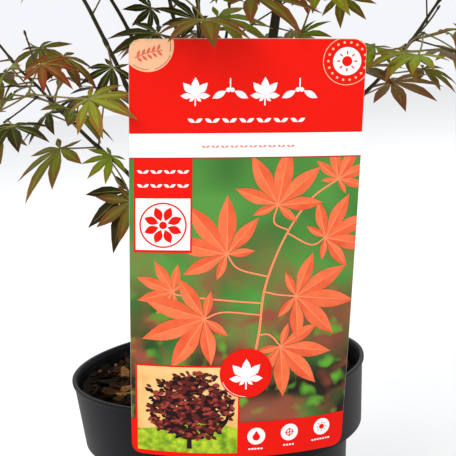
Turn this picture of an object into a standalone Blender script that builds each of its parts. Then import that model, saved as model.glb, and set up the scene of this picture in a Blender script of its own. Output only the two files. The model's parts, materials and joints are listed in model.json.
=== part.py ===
"""A young Japanese maple in a plastic nursery pot, with its plant label clipped to the rim.

Metres, +Z up. The origin is the centre of the pot's flat underside, and the label faces -Y.
Azimuths are in degrees about +Z: 0 is +X, 90 is +Y (the back) and 270 is the label's side.
"""

import math
import random

import bmesh
import bpy
from mathutils import Matrix, Vector
from mathutils.bvhtree import BVHTree

# ---------------------------------------------------------------- driving dimensions
SEED = 21
GAP = 0.0003  # between pieces that rest on or meet each other

POT_HEIGHT = 0.150
RIM_RADIUS = 0.095
WALL = 0.0018
FLOOR = 0.0022
LIP_WIDTH = 0.0024
BEAD_HEIGHT = 0.0030
BEAD_STAND = 0.0012
COLLAR_DROP = 0.043  # from the rim down to the collar's foot
COLLAR_FOOT_RADIUS = 0.0903
BODY_TOP_RADIUS = 0.0812
BASE_RADIUS = 0.0705
BASE_EDGE = 0.0030
POT_SIDES = 42  # with six holes, none lies on a spoke
DRAIN_HOLES = 6
DRAIN_RADIUS = 0.0050
DRAIN_CIRCLE = 0.054

SOIL_DROP = 0.014  # from the rim down to the compost and its mulch
SOIL_CROWN = 0.002  # the compost is this much higher at the stem

CARD_WIDTH = 0.1285
CARD_LENGTH = 0.2441
CARD_THICKNESS = 0.0008
CARD_CORNER = 0.0060
CARD_AZIMUTH = 275.8
CARD_FOOT_RADIUS = 0.0960  # from the pot's axis to the middle of the card's lower edge
CARD_FOOT_DROP = 0.0306  # from the rim down to that edge
CARD_LEAN = math.radians(5.6)
CARD_TURN = math.radians(-5.4)
CARD_FOOT_BEND = 6.65  # curvature across the card, 1/m, at its lower edge
CARD_TOP_BEND = -1.2
CARD_BOW = 0.0009

CLIP_HALF_ANGLE = math.radians(8.0)
CLIP_THICKNESS = 0.0013
CLIP_INNER_LEG = 0.0110
CLIP_OUTER_LEG = 0.0275

TRUNK_FOOT = (0.010, 0.002)
TRUNK_TIP = (0.0625, 0.002, 0.402)
TRUNK_FLARE = 0.0100
TRUNK_RADIUS = 0.0058
TRUNK_TIP_RADIUS = 0.0026
TRUNK_SIDES = 9

BOUGH_RADIUS = 0.0022
BOUGH_TIP_RADIUS = 0.0014
BOUGH_SIDES = 6

# Each limb: height on the trunk, tip (x, y, z), elevation at its foot, azimuth and elevation at its
# tip, then the length of the shoot that carries the foliage mass on from it.
BOUGHS = {
    "left_low": (0.168, (-0.050, -0.012, 0.287), 25, 186, 46, 0.115),
    "right": (0.181, (0.092, -0.006, 0.306), 28, 350, 30, 0.120),
    "left": (0.194, (-0.0445, -0.006, 0.347), 42, 182, 70, 0.180),
    "back": (0.207, (0.022, 0.078, 0.312), 30, 96, 40, 0.140),
    "front": (0.220, (0.008, -0.066, 0.338), 45, 264, 52, 0.135),
    "left_back": (0.236, (-0.034, 0.058, 0.352), 42, 135, 58, 0.160),
    "centre": (0.252, (-0.006, 0.018, 0.362), 55, 120, 80, 0.170),
    "front_right": (0.386, (0.086, -0.030, 0.406), 20, 310, 40, 0.140),
    "right_back": (0.394, (0.090, 0.036, 0.416), 25, 35, 44, 0.135),
}
LEADER = (78, 84, 0.138)  # azimuth, elevation and length of the shoot on the trunk's tip

SHOOT_RADIUS = 0.00125
SHOOT_TIP_RADIUS = 0.0007
SHOOT_STEP = 0.014
SHOOT_LIFT = 0.035  # how far each step turns a shoot towards the sky
SHOOT_WANDER = 0.09
NODE_SPACING = 0.038
FIRST_NODE = 0.016
TWIG_FIRST_NODE = 0.024
TWIG_LENGTH = (0.045, 0.075)
TWIG_EVERY = 2  # every second node of a shoot bears side twigs

LEAF_LENGTH = 0.042  # the middle lobe of a full-grown leaf
LEAF_THICKNESS = 0.0010
PETIOLE_LENGTH = (0.024, 0.042)
PETIOLE_RADIUS = 0.00055
PETIOLE_FOOT_RADIUS = 0.0003
LEAF_TRIES = 7
LOBES = ((0, 1.00), (37, 0.93), (76, 0.75), (121, 0.43))  # angle from the middle, length
NOTCH = 0.40  # how far out the solids' notches lie, of the shorter neighbour's length
HEEL = 0.07
BLADE_DROOP = 0.22  # how far a tip hangs below the blade's plane, of the lobe's length

# Leaves whose place is chosen: mass, blade's foot (x, y, z), azimuth and elevation of its middle
# lobe, azimuth and elevation of its face, length.
CHOSEN_LEAVES = (
    ("front", (0.0124, -0.1260, 0.3730), 276, -9, 292, 72, 0.036),
    ("front", (0.0385, -0.0960, 0.3830), 345, -8, 262, 75, 0.043),
    ("front", (-0.0142, -0.0880, 0.3670), 208, -7, 262, 50, 0.030),
    ("front", (0.0077, -0.1050, 0.3731), 180, 30, 262, 60, 0.024),
    ("front", (0.0200, -0.0960, 0.3850), 30, 8, 262, 60, 0.018),
    ("front_right", (0.0672, -0.0500, 0.3576), 318, 8, 285, 40, 0.021),
    ("front_right", (0.0797, -0.0760, 0.3865), 324, -6, 262, 64, 0.036),
    ("front_right", (0.0920, -0.0500, 0.3782), 305, -29, 262, 50, 0.024),
    ("centre", (-0.0214, 0.0200, 0.3806), 229, -28, 300, 10, 0.020),
    ("left", (-0.0461, -0.0260, 0.3480), 227, -39, 262, 40, 0.024),
    ("left_low", (-0.0534, -0.1180, 0.3368), 327, -15, 262, 55, 0.030),
    ("left_low", (-0.0449, -0.0200, 0.2705), 230, -55, 262, 30, 0.037),
    ("left_low", (-0.0505, -0.0500, 0.2972), 222, -20, 262, 40, 0.021),
    ("left_low", (-0.0427, -0.0340, 0.2665), 196, -66, 268, 22, 0.029),
)

# The crown is open between these two heights: only this share of its leaves hangs there.
OPEN_TIER = (0.352, 0.400)
OPEN_SHARE = 0.1

# ---------------------------------------------------------------- mesh helpers


def clear_scene():
    for old in list(bpy.data.objects):
        bpy.data.objects.remove(old)


def material(name, colour, roughness, metallic=0.0):
    made = bpy.data.materials.new(name)
    made.use_nodes = True
    shader = made.node_tree.nodes["Principled BSDF"]
    shader.inputs["Base Color"].default_value = (*colour, 1.0)
    shader.inputs["Roughness"].default_value = roughness
    shader.inputs["Metallic"].default_value = metallic
    return made


def mesh_object(name, points, faces, finish):
    mesh = bpy.data.meshes.new(name)
    mesh.from_pydata([tuple(p) for p in points], [], faces)
    mesh.update()
    made = bpy.data.objects.new(name, mesh)
    bpy.context.scene.collection.objects.link(made)
    mesh.materials.append(finish)
    return made


def spun(name, outline, finish, start=0.0, angle=math.tau, steps=POT_SIDES):
    """A solid made by spinning an outline of (radius, height) about the pot's axis."""
    work = bmesh.new()
    direction = Vector((math.cos(start), math.sin(start), 0.0))
    ring = [work.verts.new(direction * r + Vector((0, 0, z))) for r, z in outline]
    whole = angle >= math.tau - 1e-6
    if whole:
        geometry = [work.edges.new(pair) for pair in zip(ring, ring[1:])]
    else:
        geometry = [work.faces.new(ring)]
    bmesh.ops.spin(
        work,
        geom=ring + geometry,
        cent=(0, 0, 0),
        axis=(0, 0, 1),
        angle=angle,
        steps=steps,
        use_merge=whole,
        use_duplicate=False,
    )
    bmesh.ops.remove_doubles(work, verts=work.verts[:], dist=1e-6)
    bmesh.ops.recalc_face_normals(work, faces=work.faces[:])
    mesh = bpy.data.meshes.new(name)
    work.to_mesh(mesh)
    work.free()
    made = bpy.data.objects.new(name, mesh)
    bpy.context.scene.collection.objects.link(made)
    mesh.materials.append(finish)
    mesh.shade_smooth()
    mesh.set_sharp_from_angle(angle=math.radians(35))
    return made


def tube_mesh(path, radii, sides):
    """Points and faces of a closed tube with flat ends: a ring of the given radius at each point."""
    points = []
    side = Vector((0, 0, 1)).cross(path[1] - path[0])
    side = side.normalized() if side.length > 1e-6 else Vector((1, 0, 0))
    for i, (centre, radius) in enumerate(zip(path, radii)):
        along = (path[min(i + 1, len(path) - 1)] - path[max(i - 1, 0)]).normalized()
        side = (side - along * side.dot(along)).normalized()
        other = along.cross(side)
        for k in range(sides):
            turn = math.tau * k / sides
            points.append(centre + radius * (math.cos(turn) * side + math.sin(turn) * other))
    faces = []
    for i in range(len(path) - 1):
        for k in range(sides):
            a, b = i * sides + k, i * sides + (k + 1) % sides
            faces.append((a, b, b + sides, a + sides))
    faces.append(tuple(range(sides - 1, -1, -1)))
    faces.append(tuple(range((len(path) - 1) * sides, len(path) * sides)))
    return points, faces


def tapered(count, first, last):
    return [first + (last - first) * i / (count - 1) for i in range(count)]


def boolean(target, operation, helper=None, collection=None):
    """Applies a Boolean with one hidden object, or with a collection of them."""
    modifier = target.modifiers.new("join", "BOOLEAN")
    modifier.operation = operation
    modifier.solver = "EXACT"
    if collection is None:
        modifier.object = helper
    else:
        modifier.operand_type = "COLLECTION"
        modifier.collection = collection
        modifier.solver = "MANIFOLD"
    graph = bpy.context.evaluated_depsgraph_get()
    joined = bpy.data.meshes.new_from_object(target.evaluated_get(graph))
    target.modifiers.remove(modifier)
    old = target.data
    target.data = joined
    bpy.data.meshes.remove(old)


# ---------------------------------------------------------------- pot, compost, card and clip


def collar_radius(z):
    """The collar's outside, which tapers from its foot up to the bead."""
    foot, top = POT_HEIGHT - COLLAR_DROP, POT_HEIGHT - BEAD_HEIGHT
    share = min(1.0, max(0.0, (z - foot) / (top - foot)))
    return COLLAR_FOOT_RADIUS + share * (RIM_RADIUS - BEAD_STAND - COLLAR_FOOT_RADIUS)


def pot_outlines():
    """The pot's outer outline, from the axis up to the rim, and its inner one, back down to the axis."""
    foot = POT_HEIGHT - COLLAR_DROP
    ledge = foot + 0.0018
    bead = POT_HEIGHT - BEAD_HEIGHT
    outer = [
        (0.0, 0.0),
        (BASE_RADIUS - BASE_EDGE, 0.0),
        (BASE_RADIUS, BASE_EDGE),
        (BODY_TOP_RADIUS, ledge),
        (COLLAR_FOOT_RADIUS - WALL, ledge),
        (COLLAR_FOOT_RADIUS - WALL * 0.6, foot),
        (COLLAR_FOOT_RADIUS, foot),
        (RIM_RADIUS - BEAD_STAND, bead),
        (RIM_RADIUS, bead + 0.0008),
        (RIM_RADIUS, POT_HEIGHT - 0.0008),
        (RIM_RADIUS - 0.0008, POT_HEIGHT),
    ]
    inner = [
        (RIM_RADIUS - LIP_WIDTH, POT_HEIGHT),
        (collar_radius(bead) - WALL - 0.0004, bead),
        (COLLAR_FOOT_RADIUS - WALL, ledge + WALL),
        (BODY_TOP_RADIUS - WALL, ledge + WALL),
        (BASE_RADIUS - WALL, FLOOR),
        (0.0, FLOOR),
    ]
    return outer, inner


def inner_radius(z):
    """The inside of the pot's collar at this height."""
    _, inner = pot_outlines()
    (top_r, top_z), (foot_r, foot_z) = inner[1], inner[2]
    return foot_r + (top_r - foot_r) * (z - foot_z) / (top_z - foot_z)


def make_pot(finish):
    outer, inner = pot_outlines()
    pot = spun("pot", outer + inner, finish)
    for k in range(DRAIN_HOLES):
        turn = math.tau * (k + 0.5) / DRAIN_HOLES
        bpy.ops.mesh.primitive_cylinder_add(
            vertices=12,
            radius=DRAIN_RADIUS,
            depth=4 * FLOOR,
            location=(DRAIN_CIRCLE * math.cos(turn), DRAIN_CIRCLE * math.sin(turn), FLOOR / 2),
        )
        cutter = bpy.context.object
        boolean(pot, "DIFFERENCE", helper=cutter)
        bpy.data.objects.remove(cutter)
    return pot


def soil_height(radius):
    """The compost is a very low dome round the stem."""
    share = min(1.0, radius / RIM_RADIUS)
    return POT_HEIGHT - SOIL_DROP + SOIL_CROWN * (1 - share * share)


def make_soil(finish):
    _, inner = pot_outlines()
    ledge_z = inner[2][1]
    edge = inner_radius(POT_HEIGHT - SOIL_DROP) - GAP
    outline = [
        (0.0, FLOOR + GAP),
        (inner[4][0] - GAP, FLOOR + GAP),
        (inner[3][0] - GAP, ledge_z + GAP),
        (inner[2][0] - GAP, ledge_z + GAP),
        (edge, soil_height(RIM_RADIUS)),
        (edge * 0.5, soil_height(edge * 0.5)),
        (0.0, soil_height(0.0)),
    ]
    return spun("soil", outline, finish)


def card_point(across, down, out=0.0):
    """A point of the card: across from its middle line, down from its top edge, out from its
    middle surface. The card leans out from the pot, is turned a little in its own plane, and
    bends across, more towards its foot."""
    azimuth = math.radians(CARD_AZIMUTH)
    outward = Vector((math.cos(azimuth), math.sin(azimuth), 0))
    tangent = Vector((-math.sin(azimuth), math.cos(azimuth), 0))
    up = Vector((0, 0, math.cos(CARD_LEAN))) + math.sin(CARD_LEAN) * outward
    normal = math.cos(CARD_LEAN) * outward - Vector((0, 0, math.sin(CARD_LEAN)))
    right = math.cos(CARD_TURN) * tangent + math.sin(CARD_TURN) * up
    rise = math.cos(CARD_TURN) * up - math.sin(CARD_TURN) * tangent
    share = down / CARD_LENGTH
    bend = CARD_TOP_BEND + (CARD_FOOT_BEND - CARD_TOP_BEND) * share
    if abs(bend) < 1e-3:
        bend = 1e-3
    turn = across * bend
    side = math.sin(turn) / bend
    back = (math.cos(turn) - 1) / bend + 4 * CARD_BOW * share * (1 - share)
    foot = outward * CARD_FOOT_RADIUS + Vector((0, 0, POT_HEIGHT - CARD_FOOT_DROP))
    facing = math.cos(turn) * normal + math.sin(turn) * right
    return foot + side * right + back * normal + (CARD_LENGTH - down) * rise + out * facing


def card_half_width(down):
    """Half the card's width, less near its ends, where its corners are round."""
    from_end = min(down, CARD_LENGTH - down)
    if from_end >= CARD_CORNER:
        return CARD_WIDTH / 2
    rest = CARD_CORNER - from_end
    return CARD_WIDTH / 2 - CARD_CORNER + math.sqrt(CARD_CORNER**2 - rest**2)


def card_mesh(thickness, columns=8):
    """Points and faces of the card: a front and a back sheet of rows, joined round the edge."""
    ends = [CARD_CORNER * (1 - math.cos(math.radians(a))) for a in (0, 32, 60, 90)]
    middle = [CARD_CORNER + (CARD_LENGTH - 2 * CARD_CORNER) * i / 8 for i in range(1, 8)]
    rows = ends + middle + [CARD_LENGTH - e for e in reversed(ends)]
    points = []
    for out in (thickness / 2, -thickness / 2):
        for down in rows:
            half = card_half_width(down)
            for i in range(columns + 1):
                points.append(card_point(half * (2 * i / columns - 1), down, out))
    wide, tall = columns + 1, len(rows)
    faces = []
    for j in range(tall - 1):
        for i in range(columns):
            a = j * wide + i
            faces.append((a, a + wide, a + wide + 1, a + 1))
            b = a + wide * tall
            faces.append((b, b + 1, b + wide + 1, b + wide))
    edge = [j * wide for j in range(tall)]
    edge += [(tall - 1) * wide + i for i in range(1, wide)]
    edge += [j * wide + columns for j in range(tall - 2, -1, -1)]
    edge += list(range(columns - 1, 0, -1))
    for a, b in zip(edge, edge[1:] + edge[:1]):
        faces.append((a, a + wide * tall, b + wide * tall, b))
    return points, faces


def make_card(finish):
    points, faces = card_mesh(CARD_THICKNESS)
    return mesh_object("label_card", points, faces, finish)


def make_clip(finish):
    """A hook over the rim: an inner leg, a bridge and a wedge that fills the space to the card."""
    rise = math.tan(CARD_LEAN)
    back = CARD_THICKNESS / 2 + GAP

    def card_side(z):
        return CARD_FOOT_RADIUS + (z - POT_HEIGHT + CARD_FOOT_DROP) * rise - back

    top = POT_HEIGHT + GAP + CLIP_THICKNESS
    inner_foot = POT_HEIGHT - CLIP_INNER_LEG
    outer_foot = POT_HEIGHT - CLIP_OUTER_LEG
    bead = POT_HEIGHT - BEAD_HEIGHT
    lip_inner = min(RIM_RADIUS - LIP_WIDTH, inner_radius(bead)) - GAP
    foot_inner = inner_radius(inner_foot) - GAP
    outline = [
        (foot_inner - CLIP_THICKNESS, inner_foot),
        (foot_inner, inner_foot),
        (lip_inner, bead - GAP),
        (lip_inner, POT_HEIGHT + GAP),
        (RIM_RADIUS + GAP, POT_HEIGHT + GAP),
        (RIM_RADIUS + GAP, bead - GAP),
        (collar_radius(outer_foot) + GAP, outer_foot),
        (card_side(outer_foot), outer_foot),
        (card_side(top), top),
        (lip_inner - CLIP_THICKNESS, top),
        (lip_inner - CLIP_THICKNESS, bead - GAP),
    ]
    start = math.radians(CARD_AZIMUTH) - CLIP_HALF_ANGLE
    return spun("label_clip", outline, finish, start, 2 * CLIP_HALF_ANGLE, 4)


# ---------------------------------------------------------------- limbs


def bezier(a, b, c, d, count):
    made = []
    for i in range(count):
        t = i / (count - 1)
        s = 1 - t
        made.append(a * s**3 + b * (3 * s * s * t) + c * (3 * s * t * t) + d * t**3)
    return made


def heading(azimuth, elevation):
    a, e = math.radians(azimuth), math.radians(elevation)
    return Vector((math.cos(a) * math.cos(e), math.sin(a) * math.cos(e), math.sin(e)))


def trunk_path(count=13):
    """From a flat cut on the compost, leaning and bending gently, up to the pruned tip."""
    radius = math.hypot(*TRUNK_FOOT)
    foot = Vector((*TRUNK_FOOT, soil_height(radius) + GAP))
    tip = Vector(TRUNK_TIP)
    height = tip.z - foot.z
    low = foot + Vector((-0.004, 0.003, height * 0.33))
    high = tip - Vector((0.014, -0.004, height * 0.36))
    return bezier(foot, low, high, tip, count)


def trunk_radii(path, extra=0.0):
    """Tapers evenly to the tip, with a root flare that fades within the lowest few centimetres."""
    foot, tip = path[0].z, path[-1].z
    made = []
    for point in path:
        share = (point.z - foot) / (tip - foot)
        flare = (TRUNK_FLARE - TRUNK_RADIUS) * math.exp(-(point.z - foot) / 0.012)
        made.append(TRUNK_RADIUS + (TRUNK_TIP_RADIUS - TRUNK_RADIUS) * share**0.8 + flare + extra)
    return made


def trunk_at(height):
    """The trunk's middle at this height."""
    path = trunk_path(60)
    return min(path, key=lambda point: abs(point.z - height))


def bough_path(name, count=9):
    height, tip, foot_rise, tip_azimuth, tip_rise, _ = BOUGHS[name]
    start, end = trunk_at(height), Vector(tip)
    reach = (end - start).length
    azimuth = math.degrees(math.atan2(end.y - start.y, end.x - start.x))
    leaving = start + heading(azimuth, foot_rise) * reach * 0.36
    arriving = end - heading(tip_azimuth, tip_rise) * reach * 0.36
    return bezier(start, leaving, arriving, end, count)


def make_trunk(finish):
    path = trunk_path()
    # Rings closer together at the foot carry the flare.
    flared = [path[0], path[0].lerp(path[1], 0.35), path[0].lerp(path[1], 0.75)] + path[1:]
    points, faces = tube_mesh(flared, trunk_radii(flared), TRUNK_SIDES)
    level = path[0].z
    for point in points[:TRUNK_SIDES]:
        point.z = level
    return mesh_object("trunk", points, faces, finish)


def make_boughs(finish):
    """Each bough starts inside the trunk and is cut back to stand a hair clear of its bark."""
    path = trunk_path()
    points, faces = tube_mesh(path, trunk_radii(path, GAP), TRUNK_SIDES)
    clear = mesh_object("trunk_clearance", points, faces, finish)
    clear.hide_render = True
    for name in BOUGHS:
        path = bough_path(name)
        radii = tapered(len(path), BOUGH_RADIUS, BOUGH_TIP_RADIUS)
        points, faces = tube_mesh(path, radii, BOUGH_SIDES)
        bough = mesh_object("bough_" + name, points, faces, finish)
        boolean(bough, "DIFFERENCE", helper=clear)
    bpy.data.objects.remove(clear)


# ---------------------------------------------------------------- foliage plan


class Space:
    """What is already in the crown, as surfaces that a new twig or leaf must not touch."""

    def __init__(self):
        self.items = []

    def add(self, owner, points, faces):
        centre = sum(points, Vector()) / len(points)
        radius = max((p - centre).length for p in points)
        self.items.append((owner, centre, radius, BVHTree.FromPolygons(points, faces)))

    def touches(self, points, faces, ignore=()):
        centre = sum(points, Vector()) / len(points)
        radius = max((p - centre).length for p in points)
        tree = BVHTree.FromPolygons(points, faces)
        for owner, other, reach, surface in self.items:
            if owner in ignore or (other - centre).length > radius + reach:
                continue
            if tree.overlap(surface):
                return True
        return False


def leaf_ring(length, notch):
    """The leaf's outline in its own plane: the tips of its lobes, the notches between, the heel."""
    lobes = [(-a, s) for a, s in reversed(LOBES[1:])] + list(LOBES)
    ring = []
    for i, (angle, share) in enumerate(lobes):
        ring.append((math.radians(angle), length * share))
        if i + 1 < len(lobes):
            after, next_share = lobes[i + 1]
            ring.append((math.radians((angle + after) / 2), length * notch * min(share, next_share)))
    ring.append((math.pi, length * HEEL))
    return ring


def leaf_mesh(frame, length, thickness, notch=NOTCH, grow=1.0):
    """A thin blade: a fan over and a fan under the same outline, whose tips hang down."""
    points = [frame @ Vector((0, 0, thickness / 2)), frame @ Vector((0, 0, -thickness / 2))]
    ring = leaf_ring(length, notch)
    for angle, reach in ring:
        fall = -BLADE_DROOP * reach * reach / length
        points.append(
            frame @ Vector((reach * grow * math.cos(angle), reach * grow * math.sin(angle), fall))
        )
    faces = []
    for i in range(len(ring)):
        a, b = 2 + i, 2 + (i + 1) % len(ring)
        faces.append((0, a, b))
        faces.append((1, b, a))
    return points, faces


def stalked_leaf_mesh(frame, length, node):
    """The blade with its stalk as one closed mesh. The heel is two points, and they and the blade's
    foot, on the side that the node is on, are the stalk's end. Its other end is inside the twig."""
    points, faces = leaf_mesh(frame, length, LEAF_THICKNESS)
    heel, last, first = len(points) - 1, len(points) - 2, 2
    above = (frame.inverted() @ node).z > 0
    points[heel] = frame @ Vector((-HEEL * length, -PETIOLE_RADIUS, 0))
    points.append(frame @ Vector((-HEEL * length, PETIOLE_RADIUS, 0)))
    other = len(points) - 1
    faces = [face for face in faces if heel not in face]
    faces += [(0, last, other), (0, heel, first), (1, other, last), (1, first, heel)]
    foot, cap = (0, (1, heel, other)) if above else (1, (0, other, heel))
    faces.append(cap)
    blade_end = [other, heel, foot] if above else [heel, other, foot]
    centre = (points[heel] + points[other] + points[foot]) / 3
    away = (node - centre).normalized()
    base = len(points)
    for index in blade_end:
        rim = points[index] - centre
        rim -= away * rim.dot(away)
        points.append(node + rim.normalized() * PETIOLE_FOOT_RADIUS)
    for i in range(3):
        j = (i + 1) % 3
        faces.append((blade_end[i], blade_end[j], base + j, base + i))
    faces.append((base, base + 1, base + 2))
    return points, faces


def blade_frame(foot, along, face):
    """A blade's place: its foot, the way its middle lobe points and the way it faces."""
    x = along.normalized()
    z = (face - x * face.dot(x)).normalized()
    y = z.cross(x)
    return Matrix.Translation(foot) @ Matrix((x, y, z)).transposed().to_4x4()


def petiole_mesh(node, frame, length, radius):
    """A three-sided stalk from inside the twig to inside the blade, between its heel and foot."""
    return tube_mesh([node, frame @ Vector((-0.55 * HEEL * length, 0, 0))], [radius, radius * 0.6], 3)


def shoot_path(start, direction, length, rng):
    """Steps that turn a little towards the sky and a little at random."""
    path, way = [start], direction.normalized()
    for _ in range(max(2, round(length / SHOOT_STEP))):
        turn = Vector([rng.uniform(-SHOOT_WANDER, SHOOT_WANDER) for _ in range(3)])
        way = (way + Vector((0, 0, SHOOT_LIFT)) + turn).normalized()
        path.append(path[-1] + way * SHOOT_STEP)
    return path


def along_path(path, distance):
    """(point, direction) at this distance along a path."""
    for a, b in zip(path, path[1:]):
        step = (b - a).length
        if distance <= step or b is path[-1]:
            return a.lerp(b, min(1.0, distance / step)), (b - a).normalized()
        distance -= step


def path_length(path):
    return sum((b - a).length for a, b in zip(path, path[1:]))


def pair_axis(way, turn):
    """A direction square to a twig: level at turn 0, upright at a quarter turn."""
    level = way.cross(Vector((0, 0, 1)))
    level = level.normalized() if level.length > 1e-3 else Vector((1, 0, 0))
    return math.cos(turn) * level + math.sin(turn) * level.cross(way).normalized()


def obstacles():
    """The crown before it has foliage: the limbs, the card and the pot's rim."""
    space = Space()
    path = trunk_path()
    space.add("trunk", *tube_mesh(path, trunk_radii(path, 0.001), TRUNK_SIDES))
    for name in BOUGHS:
        path = bough_path(name)
        radii = tapered(len(path), BOUGH_RADIUS + 0.0006, BOUGH_TIP_RADIUS + 0.0006)
        for a in range(0, len(path) - 1, 2):
            points, faces = tube_mesh(path[a : a + 3], radii[a : a + 3], BOUGH_SIDES)
            space.add("bough_" + name, points, faces)
    space.add("label_card", *card_mesh(0.004))
    ring = [heading(10 * k, 0) * RIM_RADIUS for k in range(37)]
    for a, b in zip(ring, ring[1:]):
        path = [p + Vector((0, 0, POT_HEIGHT)) for p in (a, b)]
        space.add("pot", *tube_mesh(path, [0.004, 0.004], 4))
    return space


def hides_card(points):
    """True if any of these points is in front of the card's face."""
    azimuth = math.radians(CARD_AZIMUTH)
    outward = Vector((math.cos(azimuth), math.sin(azimuth), 0))
    tangent = Vector((-math.sin(azimuth), math.cos(azimuth), 0))
    top = card_point(0, 0).z + 0.012
    for point in points:
        in_front = point.dot(outward) > CARD_FOOT_RADIUS
        if in_front and point.z < top and abs(point.dot(tangent)) < CARD_WIDTH / 2 + 0.012:
            return True
    return False


def mass_starts():
    """Where each mass's stem starts, a hair past its limb's tip, its direction and length."""
    starts = {}
    for name, (*_, azimuth, elevation, length) in BOUGHS.items():
        way = heading(azimuth, elevation)
        starts[name] = (Vector(BOUGHS[name][1]) + way * GAP, way, length)
    azimuth, elevation, length = LEADER
    way = heading(azimuth, elevation)
    starts["leader"] = (trunk_path()[-1] + way * GAP, way, length)
    return starts


def plan_twigs(space, rng):
    """Every mass's stem and side twigs as (path, first radius, last radius), stems first."""
    masses = {}
    for name, (start, way, length) in mass_starts().items():
        path = shoot_path(start, way, length, rng)
        masses[name] = [(path, SHOOT_RADIUS, SHOOT_TIP_RADIUS)]
        radii = tapered(len(path), SHOOT_RADIUS + GAP, SHOOT_TIP_RADIUS + GAP)
        space.add(name, *tube_mesh(path, radii, 3))
    for name, twigs in masses.items():
        stem = twigs[0][0]
        reach = path_length(stem)
        count = int((reach - FIRST_NODE) / NODE_SPACING)
        for k in range(1, count + 1, TWIG_EVERY):
            node, way = along_path(stem, FIRST_NODE + k * NODE_SPACING)
            axis = pair_axis(way, rng.uniform(-0.4, 0.4))
            for side in (1, -1):
                length = rng.uniform(*TWIG_LENGTH) * (1.0 - 0.35 * k / (count + 1))
                path = shoot_path(node, way * 0.6 + axis * side, length, rng)
                radii = tapered(len(path), SHOOT_TIP_RADIUS, SHOOT_TIP_RADIUS * 0.8)
                fat = [r + 0.0006 for r in radii]
                points, faces = tube_mesh(path, fat, 3)
                if hides_card(path) or space.touches(points, faces, ignore=(name,)):
                    continue
                twigs.append((path, radii[0], radii[-1]))
                space.add(name, points, faces)
    return masses


def place_leaf(space, owner, node, frame, length, check_card=True):
    """Adds the leaf to the space if it is clear of everything in it."""
    blade = leaf_mesh(frame, length, 0.0022, notch=0.55, grow=1.02)
    stalk = petiole_mesh(node, frame, length, PETIOLE_RADIUS + 0.0005)
    if check_card and hides_card(blade[0]):
        return False
    if min(p.z for p in blade[0]) < POT_HEIGHT + 0.004:
        return False
    if space.touches(*blade) or space.touches(*stalk, ignore=(owner,)):
        return False
    space.add(owner + " leaf", *blade)
    space.add(owner, *stalk)
    return True


def leaf_candidates(node, way, out, length, rng):
    """Ways to hang a leaf on a node: the first is the wanted one, the rest vary it."""
    for k in range(LEAF_TRIES):
        spread = 0.10 + 0.10 * k
        wander = Vector([rng.uniform(-spread, spread) for _ in range(3)])
        lean = (out + way * 0.55 + Vector((0, 0, 0.25)) + wander).normalized()
        stalk = rng.uniform(*PETIOLE_LENGTH) * (0.55 + 0.45 * length / LEAF_LENGTH)
        foot = node + lean * stalk
        flat = Vector((lean.x, lean.y, 0))
        flat = flat.normalized() if flat.length > 0.05 else heading(rng.uniform(0, 360), 0)
        drop = math.radians(rng.uniform(4, 40))
        along = math.cos(drop) * flat - Vector((0, 0, math.sin(drop)))
        roll = rng.uniform(-0.45, 0.45)
        level = flat.cross(Vector((0, 0, 1)))
        face = Vector((0, 0, 1)) + roll * level + flat * 0.25
        yield blade_frame(foot, along, face), length * rng.uniform(0.94, 1.06)


def in_open_tier(frame, length):
    """True if the middle of this blade is in the tier that is kept open."""
    middle = frame @ Vector((0.45 * length, 0, -0.05 * length))
    return OPEN_TIER[0] < middle.z < OPEN_TIER[1]


def node_leaves(space, owner, path, distance, turn, length, rng):
    """An opposite pair of leaves on one node."""
    node, way = along_path(path, distance)
    axis = pair_axis(way, turn)
    made = []
    for side in (1, -1):
        spared = rng.random() < OPEN_SHARE
        for frame, size in leaf_candidates(node, way, axis * side, length, rng):
            if in_open_tier(frame, size) and not spared:
                continue
            if place_leaf(space, owner, node, frame, size):
                made.append((node, frame, size))
                break
    return made


def chosen_leaves(space, masses):
    """The leaves whose place is given, each on the nearest point of its mass's twigs."""
    made = {name: [] for name in masses}
    for name, foot, azimuth, elevation, face_azimuth, face_rise, length in CHOSEN_LEAVES:
        foot = Vector(foot)
        twigs = [point for path, _, _ in masses[name] for point in path[1:]]
        node = min(twigs, key=lambda point: (point - foot).length)
        frame = blade_frame(foot, heading(azimuth, elevation), heading(face_azimuth, face_rise))
        if place_leaf(space, name, node, frame, length, check_card=False):
            made[name].append((node, frame, length))
    return made


def plan_foliage():
    """Every mass as its twigs and its leaves. A leaf that would touch anything is left out."""
    rng = random.Random(SEED)
    space = obstacles()
    masses = plan_twigs(space, rng)
    leaves = chosen_leaves(space, masses)
    for name, twigs in masses.items():
        for order, (path, _, _) in enumerate(twigs):
            reach = path_length(path)
            first = FIRST_NODE if order == 0 else TWIG_FIRST_NODE
            count = int((reach - first) / NODE_SPACING) + 1
            turn = rng.uniform(0, math.pi)
            for k in range(count):
                ripe = 1.0 - 0.38 * (first + k * NODE_SPACING) / reach
                length = LEAF_LENGTH * ripe * rng.uniform(0.9, 1.08)
                leaves[name] += node_leaves(
                    space, name, path, first + k * NODE_SPACING, turn, length, rng
                )
                turn += math.pi / 2 + rng.uniform(-0.3, 0.3)
            length = LEAF_LENGTH * rng.uniform(0.5, 0.66)
            leaves[name] += node_leaves(space, name, path, reach - 0.002, turn, length, rng)
    return masses, leaves


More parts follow.
